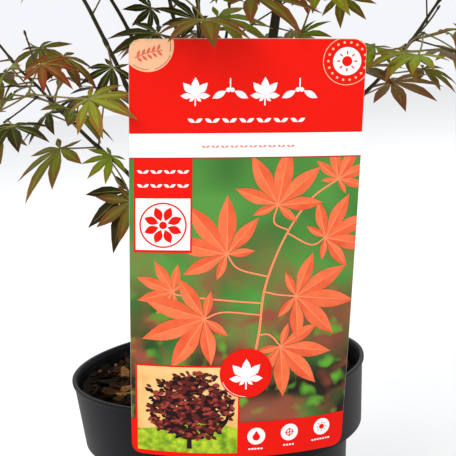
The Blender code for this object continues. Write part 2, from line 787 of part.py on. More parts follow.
def make_foliage(finish):
    """Each mass is its stem with its side twigs, stalks and blades joined on by one union."""
    masses, leaves = plan_foliage()
    for name, twigs in masses.items():
        path, first, last = twigs[0]
        mass = mesh_object(
            "foliage_" + name, *tube_mesh(path, tapered(len(path), first, last), 3), finish
        )
        pieces = [tube_mesh(p, tapered(len(p), a, b), 3) for p, a, b in twigs[1:]]
        for node, frame, length in leaves[name]:
            pieces.append(stalked_leaf_mesh(frame, length, node))
        joined = bpy.data.collections.new(name)
        for points, faces in pieces:
            piece = mesh_object("piece", points, faces, finish)
            bpy.context.scene.collection.objects.unlink(piece)
            joined.objects.link(piece)
        bpy.context.scene.collection.children.link(joined)
        boolean(mass, "UNION", collection=joined)
        for piece in list(joined.objects):
            bpy.data.objects.remove(piece)
        bpy.data.collections.remove(joined)


def main():
    clear_scene()
    pot_plastic = material("pot_plastic", (0.055, 0.056, 0.062), 0.55)
    compost = material("compost", (0.035, 0.022, 0.014), 0.95)
    bark = material("bark", (0.060, 0.055, 0.028), 0.75)
    leaf = material("leaf", (0.095, 0.060, 0.022), 0.55)
    print_face = material("label_print", (0.780, 0.030, 0.012), 0.35)
    clip_plastic = material("clip_plastic", (0.800, 0.800, 0.780), 0.45)
    make_pot(pot_plastic)
    make_soil(compost)
    make_trunk(bark)
    make_boughs(bark)
    make_foliage(leaf)
    make_card(print_face)
    make_clip(clip_plastic)


if __name__ == "__main__":
    main()
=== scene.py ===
"""A young Japanese maple in a nursery pot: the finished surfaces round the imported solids.

Metres, +Z up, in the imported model's frame: the origin is the centre of the pot's underside and the
label faces -Y. Every surface is a function of two parameters on a grid, worked out with numpy. The
crown is planned by the same seeded rule as the solids and then carried on to finer twigs.
"""

import json
import math
import random

import bpy
import numpy as np
from bpy.props import FloatProperty, FloatVectorProperty, IntProperty, PointerProperty
from mathutils import Matrix, Vector
from mathutils.bvhtree import BVHTree

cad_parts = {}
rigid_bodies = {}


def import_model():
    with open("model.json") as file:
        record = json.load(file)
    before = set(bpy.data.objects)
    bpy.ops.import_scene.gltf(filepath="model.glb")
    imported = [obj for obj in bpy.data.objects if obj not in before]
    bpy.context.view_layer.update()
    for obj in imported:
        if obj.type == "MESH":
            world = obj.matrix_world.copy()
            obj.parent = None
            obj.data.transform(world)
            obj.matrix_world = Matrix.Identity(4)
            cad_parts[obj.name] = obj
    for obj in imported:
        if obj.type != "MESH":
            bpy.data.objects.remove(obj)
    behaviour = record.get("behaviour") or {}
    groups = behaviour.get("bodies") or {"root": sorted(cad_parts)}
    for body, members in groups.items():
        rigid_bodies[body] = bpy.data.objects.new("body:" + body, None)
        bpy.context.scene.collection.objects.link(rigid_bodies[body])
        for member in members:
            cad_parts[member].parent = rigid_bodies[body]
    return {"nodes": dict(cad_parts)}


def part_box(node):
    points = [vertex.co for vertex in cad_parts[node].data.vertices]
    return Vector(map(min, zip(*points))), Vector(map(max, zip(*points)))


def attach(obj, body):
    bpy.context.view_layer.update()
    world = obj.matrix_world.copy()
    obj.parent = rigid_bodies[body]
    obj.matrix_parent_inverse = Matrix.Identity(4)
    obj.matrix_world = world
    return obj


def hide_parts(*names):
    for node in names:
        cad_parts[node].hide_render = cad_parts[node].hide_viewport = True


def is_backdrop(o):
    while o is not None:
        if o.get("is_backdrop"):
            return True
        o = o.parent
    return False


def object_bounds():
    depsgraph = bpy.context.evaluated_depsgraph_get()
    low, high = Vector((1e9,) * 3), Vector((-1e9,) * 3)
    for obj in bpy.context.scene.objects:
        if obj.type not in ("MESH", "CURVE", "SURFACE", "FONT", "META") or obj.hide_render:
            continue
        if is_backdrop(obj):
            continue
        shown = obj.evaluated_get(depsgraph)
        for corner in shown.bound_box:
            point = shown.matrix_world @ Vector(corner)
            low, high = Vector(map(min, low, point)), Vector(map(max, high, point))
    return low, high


bl_info = {
    "name": "Potted maple",
    "version": (1, 0, 0),
    "blender": (4, 5, 0),
    "location": "3D View > Sidebar > Maple",
    "description": "Builds a young Japanese maple in a nursery pot with its label card",
    "category": "Object",
}

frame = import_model()
CAD_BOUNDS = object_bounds()

# ---------------------------------------------------------------- the solids' sizes
SEED = 21
GAP = 0.0003

POT_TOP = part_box("pot")[1]
RIM_RADIUS = round(POT_TOP[0], 4)
POT_HEIGHT = round(POT_TOP[2], 4)
WALL = 0.0018
FLOOR = 0.0022
LIP_WIDTH = 0.0024
BEAD_HEIGHT = 0.0030
BEAD_STAND = 0.0012
COLLAR_DROP = 0.043
COLLAR_FOOT_RADIUS = 0.0903
BODY_TOP_RADIUS = 0.0812
BASE_RADIUS = 0.0705
BASE_EDGE = 0.0030
DRAIN_HOLES = 6
DRAIN_RADIUS = 0.0050
DRAIN_CIRCLE = 0.054
BEAD_FOOT = POT_HEIGHT - BEAD_HEIGHT
COLLAR_FOOT = POT_HEIGHT - COLLAR_DROP
LEDGE = COLLAR_FOOT + 0.0018  # where the body's wall steps out to the collar's
COLLAR_INNER_FOOT = COLLAR_FOOT_RADIUS - WALL
POT_COLUMNS = 186  # none of them runs through the middle of a drain hole
HOLE_SIDES = 28

SOIL_DROP = 0.014
SOIL_CROWN = 0.002
SOIL_COLUMNS = 180
SOIL_RINGS = 60
BANK_SIDE = (-0.985, -0.174)  # the mulch lies higher this way
BACK_DIP = 0.4  # and lower at the back by this share of the bank

CARD_WIDTH = 0.1285
CARD_LENGTH = 0.2441
CARD_THICKNESS = 0.0008
CARD_CORNER = 0.0060
CARD_AZIMUTH = 275.8
CARD_FOOT_RADIUS = 0.0960
CARD_FOOT_DROP = 0.0306
CARD_LEAN = math.radians(5.6)
CARD_TURN = math.radians(-5.4)
CARD_FOOT_BEND = 6.65
CARD_TOP_BEND = -1.2
CARD_BOW = 0.0009

TRUNK_FOOT = (0.010, 0.002)
TRUNK_TIP = (0.0625, 0.002, 0.402)
TRUNK_FLARE = 0.0100
TRUNK_RADIUS = 0.0058
TRUNK_TIP_RADIUS = 0.0026
TRUNK_SIDES = 9

BOUGH_RADIUS = 0.0022
BOUGH_TIP_RADIUS = 0.0014
BOUGH_SIDES = 6

# Height on the trunk, tip, elevation at the foot, azimuth and elevation at the tip, shoot's length.
BOUGHS = {
    "left_low": (0.168, (-0.050, -0.012, 0.287), 25, 186, 46, 0.115),
    "right": (0.181, (0.092, -0.006, 0.306), 28, 350, 30, 0.120),
    "left": (0.194, (-0.0445, -0.006, 0.347), 42, 182, 70, 0.180),
    "back": (0.207, (0.022, 0.078, 0.312), 30, 96, 40, 0.140),
    "front": (0.220, (0.008, -0.066, 0.338), 45, 264, 52, 0.135),
    "left_back": (0.236, (-0.034, 0.058, 0.352), 42, 135, 58, 0.160),
    "centre": (0.252, (-0.006, 0.018, 0.362), 55, 120, 80, 0.170),
    "front_right": (0.386, (0.086, -0.030, 0.406), 20, 310, 40, 0.140),
    "right_back": (0.394, (0.090, 0.036, 0.416), 25, 35, 44, 0.135),
}
LEADER = (78, 84, 0.138)

SHOOT_RADIUS = 0.00125
SHOOT_TIP_RADIUS = 0.0007
SHOOT_STEP = 0.014
SHOOT_LIFT = 0.035
SHOOT_WANDER = 0.09
NODE_SPACING = 0.038
FIRST_NODE = 0.016
TWIG_FIRST_NODE = 0.024
TWIG_LENGTH = (0.045, 0.075)
TWIG_EVERY = 2

LEAF_LENGTH = 0.042
PETIOLE_LENGTH = (0.024, 0.042)
PETIOLE_RADIUS = 0.00055
LEAF_TRIES = 7
LOBES = ((0, 1.00), (37, 0.93), (76, 0.75), (121, 0.43))
ALL_LOBES = (*((-angle, share) for angle, share in LOBES[:0:-1]), *LOBES)
HEEL = 0.07
BLADE_DROOP = 0.22

# Mass, blade's foot, azimuth and elevation of the middle lobe and of the face, length, tint.
# Leaves given the dark tint here are partly painted shade: besides being a dark leaf colour, they darken
# lobes that lie in shadow inside the crown.
CHOSEN_LEAVES = (
    ("front", (0.0124, -0.1260, 0.3730), 276, -9, 292, 72, 0.036, "bronze"),
    ("front", (0.0385, -0.0960, 0.3830), 345, -8, 262, 75, 0.043, "bronze"),
    ("front", (-0.0142, -0.0880, 0.3670), 208, -7, 262, 50, 0.030, "dark"),
    ("front", (0.0077, -0.1050, 0.3731), 180, 30, 262, 60, 0.024, "dark"),
    ("front", (0.0200, -0.0960, 0.3850), 30, 8, 262, 60, 0.018, "olive"),
    ("front_right", (0.0672, -0.0500, 0.3576), 318, 8, 285, 40, 0.021, "green"),
    ("front_right", (0.0797, -0.0760, 0.3865), 324, -6, 262, 64, 0.036, "green"),
    ("front_right", (0.0920, -0.0500, 0.3782), 305, -29, 262, 50, 0.024, "amber"),
    ("centre", (-0.0214, 0.0200, 0.3806), 229, -28, 300, 10, 0.020, "dark"),
    ("left", (-0.0461, -0.0260, 0.3480), 227, -39, 262, 40, 0.024, "dark"),
    ("left_low", (-0.0534, -0.1180, 0.3368), 327, -15, 262, 55, 0.030, "amber"),
    ("left_low", (-0.0449, -0.0200, 0.2705), 230, -55, 262, 30, 0.037, "dark"),
    ("left_low", (-0.0505, -0.0500, 0.2972), 222, -20, 262, 40, 0.021, "green"),
    ("left_low", (-0.0427, -0.0340, 0.2665), 196, -66, 268, 22, 0.029, "bronze"),
)

# The crown is open between these two heights: only this share of its leaves hangs there.
OPEN_TIER = (0.352, 0.400)
OPEN_SHARE = 0.1

# ---------------------------------------------------------------- settings


def number(name, default, description, **kind):
    """A number that the panel can change."""
    return FloatProperty(name=name, description=description, default=default, **kind)


def triple(name, default, description, **kind):
    """Three numbers that the panel can change."""
    return FloatVectorProperty(name=name, description=description, default=default, size=3, **kind)


def colour(name, default, description):
    """A colour that the panel can change."""
    return triple(name, default, description, subtype="COLOR", min=0, max=1)


def length(name, default, description):
    """A length that the panel can change."""
    return number(name, default, description, min=0.0, unit="LENGTH", precision=5)


class PotSettings(bpy.types.PropertyGroup):
    """The nursery pot and the clip on its rim"""

    plastic: colour("Plastic", (0.0036, 0.0036, 0.0050), "Colour of the pot's plastic")
    dust: colour("Dust", (0.013, 0.013, 0.016), "Colour of the dust in the plastic's grain")
    corner: length("Corner", 0.0006, "Radius of the pot's small corners")
    clip: colour("Clip", (0.78, 0.78, 0.75), "Colour of the label's clip")


class SoilSettings(bpy.types.PropertyGroup):
    """The compost and its mulch"""

    compost: colour("Compost", (0.0060, 0.0040, 0.0028), "Colour of the damp compost")
    bark_dark: colour("Dark bark", (0.0125, 0.0066, 0.0030), "Colour of the darkest chips")
    bark_brown: colour("Brown bark", (0.052, 0.024, 0.009), "Colour of the middling chips")
    bark_orange: colour("Orange bark", (0.270, 0.120, 0.036), "Colour of the fresh chips")
    relief: length("Relief", 0.0016, "Height of the compost's lumps")
    bank: length("Bank", 0.0090, "How much higher the mulch lies against the wall at one side")
    chips: IntProperty(name="Chips", description="Number of bark chips", default=520, min=0)
    chip_length: length("Chip length", 0.0138, "Length of a middling bark chip")


class WoodSettings(bpy.types.PropertyGroup):
    """The trunk, its limbs and the twigs"""

    bark: colour("Bark", (0.014, 0.010, 0.005), "Colour of the trunk's bark")
    streak: colour("Streak", (0.038, 0.029, 0.012), "Colour of the bark's paler streaks")
    young: colour("Young wood", (0.036, 0.030, 0.010), "Colour of this year's shoots")
    flush: colour("Flush", (0.075, 0.022, 0.018), "Colour where a shoot is flushed red")
    stalk: colour("Leaf stalk", (0.200, 0.150, 0.035), "Colour of the leaf stalks")
    relief: number("Bark relief", 0.06, "Depth of the bark's relief, of the radius")


class LeafSettings(bpy.types.PropertyGroup):
    """The foliage"""

    bronze: colour("Bronze", (0.150, 0.078, 0.014), "Colour of the bronze leaves")
    olive: colour("Olive", (0.130, 0.120, 0.014), "Colour of the olive leaves")
    # The dark tint is partly the leaves' own dark colour and partly painted shade for lobes that lie in
    # the crown's shadow.
    dark: colour("Dark", (0.032, 0.028, 0.006), "Colour of the darkest leaves")
    green: colour("Green", (0.200, 0.245, 0.015), "Colour of the fresh green leaves")
    red: colour("Red", (0.200, 0.050, 0.014), "Colour of the youngest leaves")
    amber: colour("Amber", (0.200, 0.150, 0.018), "Colour of the sunlit amber leaves")
    vein: colour("Vein", (0.260, 0.230, 0.055), "Colour of the veins")
    heart_shade: triple(
        "Heart shade", (1.10, 1.65, 1.20), "What a blade's colour is multiplied by along its veins", min=0
    )
    end_shade: triple(
        "End shade", (1.14, 0.76, 1.05), "What it is multiplied by at the lobes' ends", min=0
    )
    lobe_width: number("Lobe width", 0.125, "Half width of a lobe, of its length")
    tooth: number("Tooth", 0.08, "Depth of the margin's teeth, of the half width")
    vein_radius: length("Vein radius", 0.00038, "Radius of a lobe's main vein at its foot")


class LabelSettings(bpy.types.PropertyGroup):
    """The label card and its print"""

    paper: colour("Edge", (0.62, 0.58, 0.54), "Colour of the card's cut edge and back")
    red: colour("Red", (0.740, 0.008, 0.003), "Colour of the card's red ground")
    deep_red: colour("Deep red", (0.420, 0.012, 0.008), "Colour of the thin red lines")
    white: colour("White", (0.86, 0.85, 0.84), "Colour of the white print")
    peach: colour("Peach", (0.86, 0.47, 0.27), "Colour of the peach disc")
    field: colour("Field", (0.085, 0.270, 0.045), "Colour of the green ground")
    blush: colour("Blush", (0.720, 0.230, 0.200), "Colour of the row on the white band")
    faded: colour("Faded red", (0.700, 0.130, 0.080), "Colour of the sprig on the peach disc")
    coral: colour("Coral", (0.850, 0.190, 0.072), "Colour of the printed leaves' bright halves")
    coral_deep: colour("Deep coral", (0.700, 0.092, 0.032), "Colour of their dull halves")
    sand: colour("Sand", (0.72, 0.40, 0.13), "Colour behind the small tree")
    sand_pale: colour("Pale sand", (0.84, 0.58, 0.25), "Colour of the sand's pale patches")
    lawn: colour("Lawn", (0.10, 0.24, 0.012), "Colour of the small tree's lawn")
    lawn_pale: colour("Pale lawn", (0.46, 0.60, 0.03), "Colour of the lawn's sunlit patches")
    tree_dark: colour("Tree, dark", (0.018, 0.007, 0.008), "Colour of the small tree's shade")
    tree_red: colour("Tree, red", (0.110, 0.016, 0.014), "Colour of the small tree's red leaves")
    tree_bright: colour("Tree, bright", (0.300, 0.045, 0.030), "Colour of its brightest leaves")
    ink_step: length("Ink step", 0.00003, "Distance between two layers of print")


class StageSettings(bpy.types.PropertyGroup):
    """The floor, the lights and the camera"""

    eye: triple("Camera", (0.01534, -0.81880, 0.38832), "Where the camera stands", unit="LENGTH")
    forward: triple("Forward", (-0.00088, 0.98358, -0.18047), "The way the camera looks")
    upright: triple(
        "Upright", (0.09090, 0.17980, 0.97949), "The way the picture's top points, a little off plumb"
    )
    lens: number("Lens", 102.6, "Focal length on a 36 mm sensor", unit="CAMERA")


# ---------------------------------------------------------------- mesh helpers


def grid_faces(rows, columns, wrap=False):
    """Quads of a grid of points stored row by row: (i, j), (i, j+1), (i+1, j+1), (i+1, j), which
    face the way of (along a row) x (from row to row). wrap joins the last column to the first."""
    i = np.arange(rows - 1)[:, None]
    j = np.arange(columns if wrap else columns - 1)[None, :]
    a = i * columns + j
    b = i * columns + (j + 1) % columns
    return np.stack([a, b, b + columns, a + columns], -1).reshape(-1, 4)


def repeated(faces, copies, step):
    """The same faces for each copy of a shape of `step` points: index + copy * step."""
    return (faces[None] + step * np.arange(copies)[:, None, None]).reshape(-1, faces.shape[1])


def gathered(parts):
    """One (points, faces) from several: each part's faces count on from the points before it."""
    points, faces, first = [], [], 0
    for part_points, part_faces in parts:
        flat = np.asarray(part_points).reshape(-1, 3)
        points.append(flat)
        faces += [f + first for f in part_faces]
        first += len(flat)
    return np.concatenate(points), faces


def linked(name, data):
    """A new object that holds this data, in the scene."""
    made = bpy.data.objects.new(name, data)
    bpy.context.scene.collection.objects.link(made)
    return made


def mesh_piece(name, points, faces, finish, slot, replaced=(), smooth=True, uv=None):
    """A piece from an array of points and arrays of triangles, quads or longer faces. Points that
    no face uses are left out."""
    used, corners = np.unique(np.concatenate([f.reshape(-1) for f in faces]), return_inverse=True)
    points = np.asarray(points, np.float32).reshape(-1, 3)[used]
    sizes = np.concatenate([np.full(len(f), f.shape[1]) for f in faces])
    mesh = bpy.data.meshes.new(name)
    mesh.vertices.add(len(points))
    mesh.vertices.foreach_set("co", points.ravel())
    mesh.loops.add(len(corners))
    mesh.loops.foreach_set("vertex_index", corners.astype(np.int32))
    mesh.polygons.add(len(sizes))
    mesh.polygons.foreach_set("loop_start", (np.cumsum(sizes) - sizes).astype(np.int32))
    mesh.update(calc_edges=True)
    if uv is not None:
        layer = mesh.uv_layers.new(name="print")
        on_points = np.asarray(uv, np.float32).reshape(-1, 2)[used]
        layer.uv.foreach_set("vector", on_points[corners].ravel())
    if smooth:
        mesh.shade_smooth()
        mesh.set_sharp_from_angle(angle=math.radians(38))
    mesh.materials.append(finish)
    piece = linked(name, mesh)
    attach(piece, "root")
    if replaced:
        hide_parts(*replaced)
    return piece


def rounded(outline, radius, steps=4):
    """An outline of (r, z) points with each corner as a curve: corner + (1-t)^2 a + t^2 b, where a
    and b lead to its neighbours and are as long as the radius or a third of the side."""
    outline = np.asarray(outline, float)
    before, after = outline[:-2] - outline[1:-1], outline[2:] - outline[1:-1]
    for side in (before, after):
        size = np.linalg.norm(side, axis=1, keepdims=True)
        side *= np.minimum(radius, size / 3) / size
    t = np.linspace(0, 1, steps + 1)[None, :, None]
    curves = outline[1:-1, None] + (1 - t) ** 2 * before[:, None] + t**2 * after[:, None]
    return np.concatenate([outline[:1], curves.reshape(-1, 2), outline[-1:]])


def turned(profile, columns):
    """A closed surface of revolution, (r cos a, r sin a, z), from a profile whose two ends lie on
    the axis. Each end is one point with a fan of triangles."""
    ring = profile[1:-1]
    turn = np.linspace(0, math.tau, columns, endpoint=False)
    around = np.stack([np.cos(turn), np.sin(turn)], -1)
    body = np.empty((len(ring), columns, 3))
    body[..., :2] = ring[:, None, :1] * around[None]
    body[..., 2] = ring[:, None, 1]
    points = np.concatenate([body.reshape(-1, 3), [[0, 0, profile[0, 1]], [0, 0, profile[-1, 1]]]])
    low, high = len(points) - 2, len(points) - 1
    j = np.arange(columns)
    k = (j + 1) % columns
    last = (len(ring) - 1) * columns
    fans = np.concatenate(
        [
            np.stack([np.full(columns, low), k, j], -1),
            np.stack([np.full(columns, high), last + j, last + k], -1),
        ]
    )
    return points, [grid_faces(len(ring), columns, wrap=True), fans]


def unit(vectors):
    return vectors / np.maximum(np.linalg.norm(vectors, axis=-1, keepdims=True), 1e-12)


def tube(paths, radii, sides):
    """Closed tubes of any number at once: at each point of a path, path + r (cos a s + sin a o),
    where s and o are square to the path. paths is (..., m, 3) and radii is (..., m) or, with its
    own value at each angle, (..., m, sides)."""
    paths = np.asarray(paths, float)
    m = paths.shape[-2]
    paths = paths.reshape(-1, m, 3)
    radii = np.broadcast_to(np.asarray(radii, float).reshape(len(paths), m, -1), (len(paths), m, sides))
    along = unit(np.gradient(paths, axis=1))
    reference = np.where(
        np.abs(along.mean(1, keepdims=True)[..., 2:]) > 0.75, [[[1.0, 0, 0]]], [[[0, 0, 1.0]]]
    )
    side = unit(reference - along * np.sum(reference * along, -1, keepdims=True))
    other = np.cross(along, side)
    turn = np.linspace(0, math.tau, sides, endpoint=False)
    spoke = (
        np.cos(turn)[None, None, :, None] * side[:, :, None]
        + np.sin(turn)[None, None, :, None] * other[:, :, None]
    )
    points = paths[:, :, None] + radii[..., None] * spoke
    step = m * sides
    loop = np.arange(sides)[None]
    faces = [repeated(grid_faces(m, sides, wrap=True), len(paths), step)]
    faces.append(repeated(loop[:, ::-1], len(paths), step))
    faces.append(repeated(loop + (m - 1) * sides, len(paths), step))
    return points, faces


def smooth_path(controls, spacing):
    """A curve through all the control points, a cubic between each two (Catmull-Rom), with a point
    about every `spacing` along it."""
    p = np.asarray(controls, float)
    p = np.concatenate([2 * p[:1] - p[1:2], p, 2 * p[-1:] - p[-2:-1]])
    spans = len(p) - 3
    reach = np.linalg.norm(np.diff(p[1:-1], axis=0), axis=1).sum()
    t = np.linspace(0, spans, max(4, int(reach / spacing)))
    i = np.minimum(t.astype(int), spans - 1)
    t = (t - i)[:, None]
    a, b, c, d = p[i], p[i + 1], p[i + 2], p[i + 3]
    bent = 2 * b + (c - a) * t + (2 * a - 5 * b + 4 * c - d) * t**2
    return 0.5 * (bent + (3 * b - a - 3 * c + d) * t**3)


def lumps(points, scale, seed):
    """Smooth noise from -1 to 1: random values on a cubic lattice, blended between its corners
    with 3t^2 - 2t^3 along each axis."""
    table = np.random.default_rng(seed).uniform(-1, 1, 4096)
    cell = np.floor(points / scale).astype(int)
    t = points / scale - cell
    t = t * t * (3 - 2 * t)
    total = 0
    for corner in range(8):
        offset = np.array([corner & 1, corner >> 1 & 1, corner >> 2])
        weight = np.prod(np.where(offset, t, 1 - t), axis=-1)
        key = (cell + offset) @ np.array([73, 179, 283])
        total = total + weight * table[key % 4096]
    return total


# ---------------------------------------------------------------- shader groups and materials


def new_group(name, inputs, outputs):
    """A shader node group with named sockets, and its two end nodes."""
    group = bpy.data.node_groups.new(name, "ShaderNodeTree")
    for label, kind, value in inputs:
        socket = group.interface.new_socket(name=label, in_out="INPUT", socket_type=kind)
        if value is not None:
            socket.default_value = value
    for label, kind in outputs:
        group.interface.new_socket(name=label, in_out="OUTPUT", socket_type=kind)
    return group, group.nodes.new("NodeGroupInput"), group.nodes.new("NodeGroupOutput")


def filled(node, values):
    """The same node with these values on its sockets."""
    for name, value in values.items():
        node.inputs[name].default_value = value
    return node


def added(nodes, kind, values, **choices):
    """A new shader node with its choices made and these values on its sockets."""
    node = nodes.new(kind)
    for name, choice in choices.items():
        setattr(node, name, choice)
    return filled(node, values)


def mottle_group():
    """Two colours mixed by noise, and the noise itself. Stretch sets the pattern's scale along
    each axis, Amount how much of the second colour there is."""
    inputs = [
        ("Vector", "NodeSocketVector", None),
        ("Stretch", "NodeSocketVector", (1, 1, 1)),
        ("Scale", "NodeSocketFloat", 100.0),
        ("Amount", "NodeSocketFloat", 0.5),
        ("Colour", "NodeSocketColor", None),
        ("Second", "NodeSocketColor", None),
    ]
    group, start, end = new_group(
        "Mottle", inputs, [("Colour", "NodeSocketColor"), ("Mask", "NodeSocketFloat")]
    )
    nodes, link = group.nodes, group.links.new
    stretch = added(nodes, "ShaderNodeVectorMath", {}, operation="MULTIPLY")
    noise = added(nodes, "ShaderNodeTexNoise", {"Detail": 4.0})
    spread = added(nodes, "ShaderNodeMapRange", {"From Min": 0.32, "From Max": 0.68})
    share = added(nodes, "ShaderNodeMath", {}, operation="MULTIPLY")
    mix = added(nodes, "ShaderNodeMix", {}, data_type="RGBA")
    link(start.outputs["Vector"], stretch.inputs[0])
    link(start.outputs["Stretch"], stretch.inputs[1])
    link(stretch.outputs[0], noise.inputs["Vector"])
    link(start.outputs["Scale"], noise.inputs["Scale"])
    link(noise.outputs["Fac"], spread.inputs["Value"])
    link(spread.outputs[0], share.inputs[0])
    link(start.outputs["Amount"], share.inputs[1])
    link(share.outputs[0], mix.inputs["Factor"])
    link(start.outputs["Colour"], mix.inputs["A"])
    link(start.outputs["Second"], mix.inputs["B"])
    link(mix.outputs["Result"], end.inputs["Colour"])
    link(noise.outputs["Fac"], end.inputs["Mask"])
    return group


def plain(name, base, roughness, specular=0.3):
    """A finish of one colour, with its gloss on the shader's own sockets."""
    finish = bpy.data.materials.new(name)
    finish.use_nodes = True
    values = {"Base Color": (*base, 1), "Roughness": roughness, "Specular IOR Level": specular}
    filled(finish.node_tree.nodes["Principled BSDF"], values)
    return finish


def mottled(name, base, second, roughness, scale, amount, bump=0.0, stretch=(1, 1, 1), **gloss):
    """A finish of two colours mixed by noise on the object's own coordinates, whose noise also
    raises a little relief."""
    finish = plain(name, base, roughness, **gloss)
    nodes, link = finish.node_tree.nodes, finish.node_tree.links.new
    shader = nodes["Principled BSDF"]
    place = nodes.new("ShaderNodeTexCoord")
    group = nodes.new("ShaderNodeGroup")
    group.node_tree = bpy.data.node_groups.get("Mottle") or mottle_group()
    filled(group, {"Stretch": stretch, "Scale": scale, "Amount": amount})
    filled(group, {"Colour": (*base, 1), "Second": (*second, 1)})
    link(place.outputs["Object"], group.inputs["Vector"])
    link(group.outputs["Colour"], shader.inputs["Base Color"])
    if bump:
        relief = added(nodes, "ShaderNodeBump", {"Strength": 1.0, "Distance": bump})
        link(group.outputs["Mask"], relief.inputs["Height"])
        link(relief.outputs["Normal"], shader.inputs["Normal"])
    return finish


def picture_finish(name, settings):
    """The label's out-of-focus garden ground: soft noise between two greens over the whole field,
    and a red-brown and a near-black that come in towards its lower part."""
    finish = plain(name, settings.field, 0.38, specular=0.10)
    nodes, link = finish.node_tree.nodes, finish.node_tree.links.new
    shader = nodes["Principled BSDF"]
    place = added(nodes, "ShaderNodeUVMap", {}, uv_map="print")
    down = nodes.new("ShaderNodeSeparateXYZ")
    link(place.outputs["UV"], down.inputs[0])
    colour_so_far = None
    layers = (
        (24.0, (0.38, 0.66), (0.0, 0.0), (0.045, 0.160, 0.030)),
        (30.0, (0.42, 0.62), (0.10, 0.16), (0.270, 0.085, 0.045)),
        (22.0, (0.36, 0.58), (0.13, 0.20), (0.016, 0.012, 0.007)),
        (66.0, (0.48, 0.72), (0.11, 0.15), (0.270, 0.070, 0.036)),
        (92.0, (0.55, 0.74), (0.13, 0.17), (0.110, 0.340, 0.030)),
    )
    for scale, (low, high), (start, end), tint in layers:
        blur = {"Scale": scale, "Detail": 1.0, "Distortion": 0.3}
        noise = added(nodes, "ShaderNodeTexNoise", blur)
        shift = added(nodes, "ShaderNodeMapping", {"Location": (scale * 0.37, scale * 0.11, scale)})
        mask = added(nodes, "ShaderNodeMapRange", {"From Min": low, "From Max": high})
        link(place.outputs["UV"], shift.inputs["Vector"])
        link(shift.outputs[0], noise.inputs["Vector"])
        link(noise.outputs["Fac"], mask.inputs["Value"])
        factor = mask.outputs[0]
        if end:
            fade = added(nodes, "ShaderNodeMapRange", {"From Min": start, "From Max": end})
            both = added(nodes, "ShaderNodeMath", {}, operation="MULTIPLY")
            link(down.outputs["Y"], fade.inputs["Value"])
            link(fade.outputs[0], both.inputs[0])
            link(factor, both.inputs[1])
            factor = both.outputs[0]
        grounds = {"A": (*settings.field, 1), "B": (*tint, 1)}
        mix = added(nodes, "ShaderNodeMix", grounds, data_type="RGBA")
        link(factor, mix.inputs["Factor"])
        if colour_so_far is not None:
            link(colour_so_far, mix.inputs["A"])
        colour_so_far = mix.outputs["Result"]
    link(colour_so_far, shader.inputs["Base Color"])
    return finish


# ---------------------------------------------------------------- the crown's plan, as the solids'


def tube_solid(path, radii, sides):
    """Points and faces of a plain tube for the clearance tests."""
    points = []
    side = Vector((0, 0, 1)).cross(path[1] - path[0])
    side = side.normalized() if side.length > 1e-6 else Vector((1, 0, 0))
    for i, (centre, radius) in enumerate(zip(path, radii)):
        along = (path[min(i + 1, len(path) - 1)] - path[max(i - 1, 0)]).normalized()
        side = (side - along * side.dot(along)).normalized()
        other = along.cross(side)
        for k in range(sides):
            turn = math.tau * k / sides
            points.append(centre + radius * (math.cos(turn) * side + math.sin(turn) * other))
    loop = list(range(sides))
    end = [k + (len(path) - 1) * sides for k in loop]
    return points, [*grid_faces(len(path), sides, wrap=True).tolist(), loop[::-1], end]


def tapered(count, first, last):
    """Evenly spaced numbers from the first to the last."""
    return [first + (last - first) * i / (count - 1) for i in range(count)]


def bezier(a, b, c, d, count):
    """Points of a cubic curve from a to d that leaves towards b and arrives from c."""
    made = []
    for i in range(count):
        t = i / (count - 1)
        s = 1 - t
        made.append(a * s**3 + b * (3 * s * s * t) + c * (3 * s * t * t) + d * t**3)
    return made


def heading(azimuth, elevation):
    """The direction with this azimuth and elevation in degrees."""
    a, e = math.radians(azimuth), math.radians(elevation)
    return Vector((math.cos(a) * math.cos(e), math.sin(a) * math.cos(e), math.sin(e)))


def soil_height(radius):
    """The compost is a very low dome round the stem."""
    share = min(1.0, radius / RIM_RADIUS)
    return POT_HEIGHT - SOIL_DROP + SOIL_CROWN * (1 - share * share)


def trunk_path(count=13):
    """From a flat cut on the compost, leaning and bending gently, up to the pruned tip."""
    radius = math.hypot(*TRUNK_FOOT)
    foot = Vector((*TRUNK_FOOT, soil_height(radius) + GAP))
    tip = Vector(TRUNK_TIP)
    height = tip.z - foot.z
    low = foot + Vector((-0.004, 0.003, height * 0.33))
    high = tip - Vector((0.014, -0.004, height * 0.36))
    return bezier(foot, low, high, tip, count)


def trunk_radii(path, extra=0.0):
    """Tapers evenly to the tip, with a root flare that fades within the lowest few centimetres."""
    foot, tip = path[0].z, path[-1].z
    made = []
    for point in path:
        share = (point.z - foot) / (tip - foot)
        flare = (TRUNK_FLARE - TRUNK_RADIUS) * math.exp(-(point.z - foot) / 0.012)
        made.append(TRUNK_RADIUS + (TRUNK_TIP_RADIUS - TRUNK_RADIUS) * share**0.8 + flare + extra)
    return made


def trunk_at(height):
    """The trunk's middle at this height."""
    path = trunk_path(60)
    return min(path, key=lambda point: abs(point.z - height))


def bough_path(name, count=9):
    height, tip, foot_rise, tip_azimuth, tip_rise, _ = BOUGHS[name]
    start, end = trunk_at(height), Vector(tip)
    reach = (end - start).length
    azimuth = math.degrees(math.atan2(end.y - start.y, end.x - start.x))
    leaving = start + heading(azimuth, foot_rise) * reach * 0.36
    arriving = end - heading(tip_azimuth, tip_rise) * reach * 0.36
    return bezier(start, leaving, arriving, end, count)


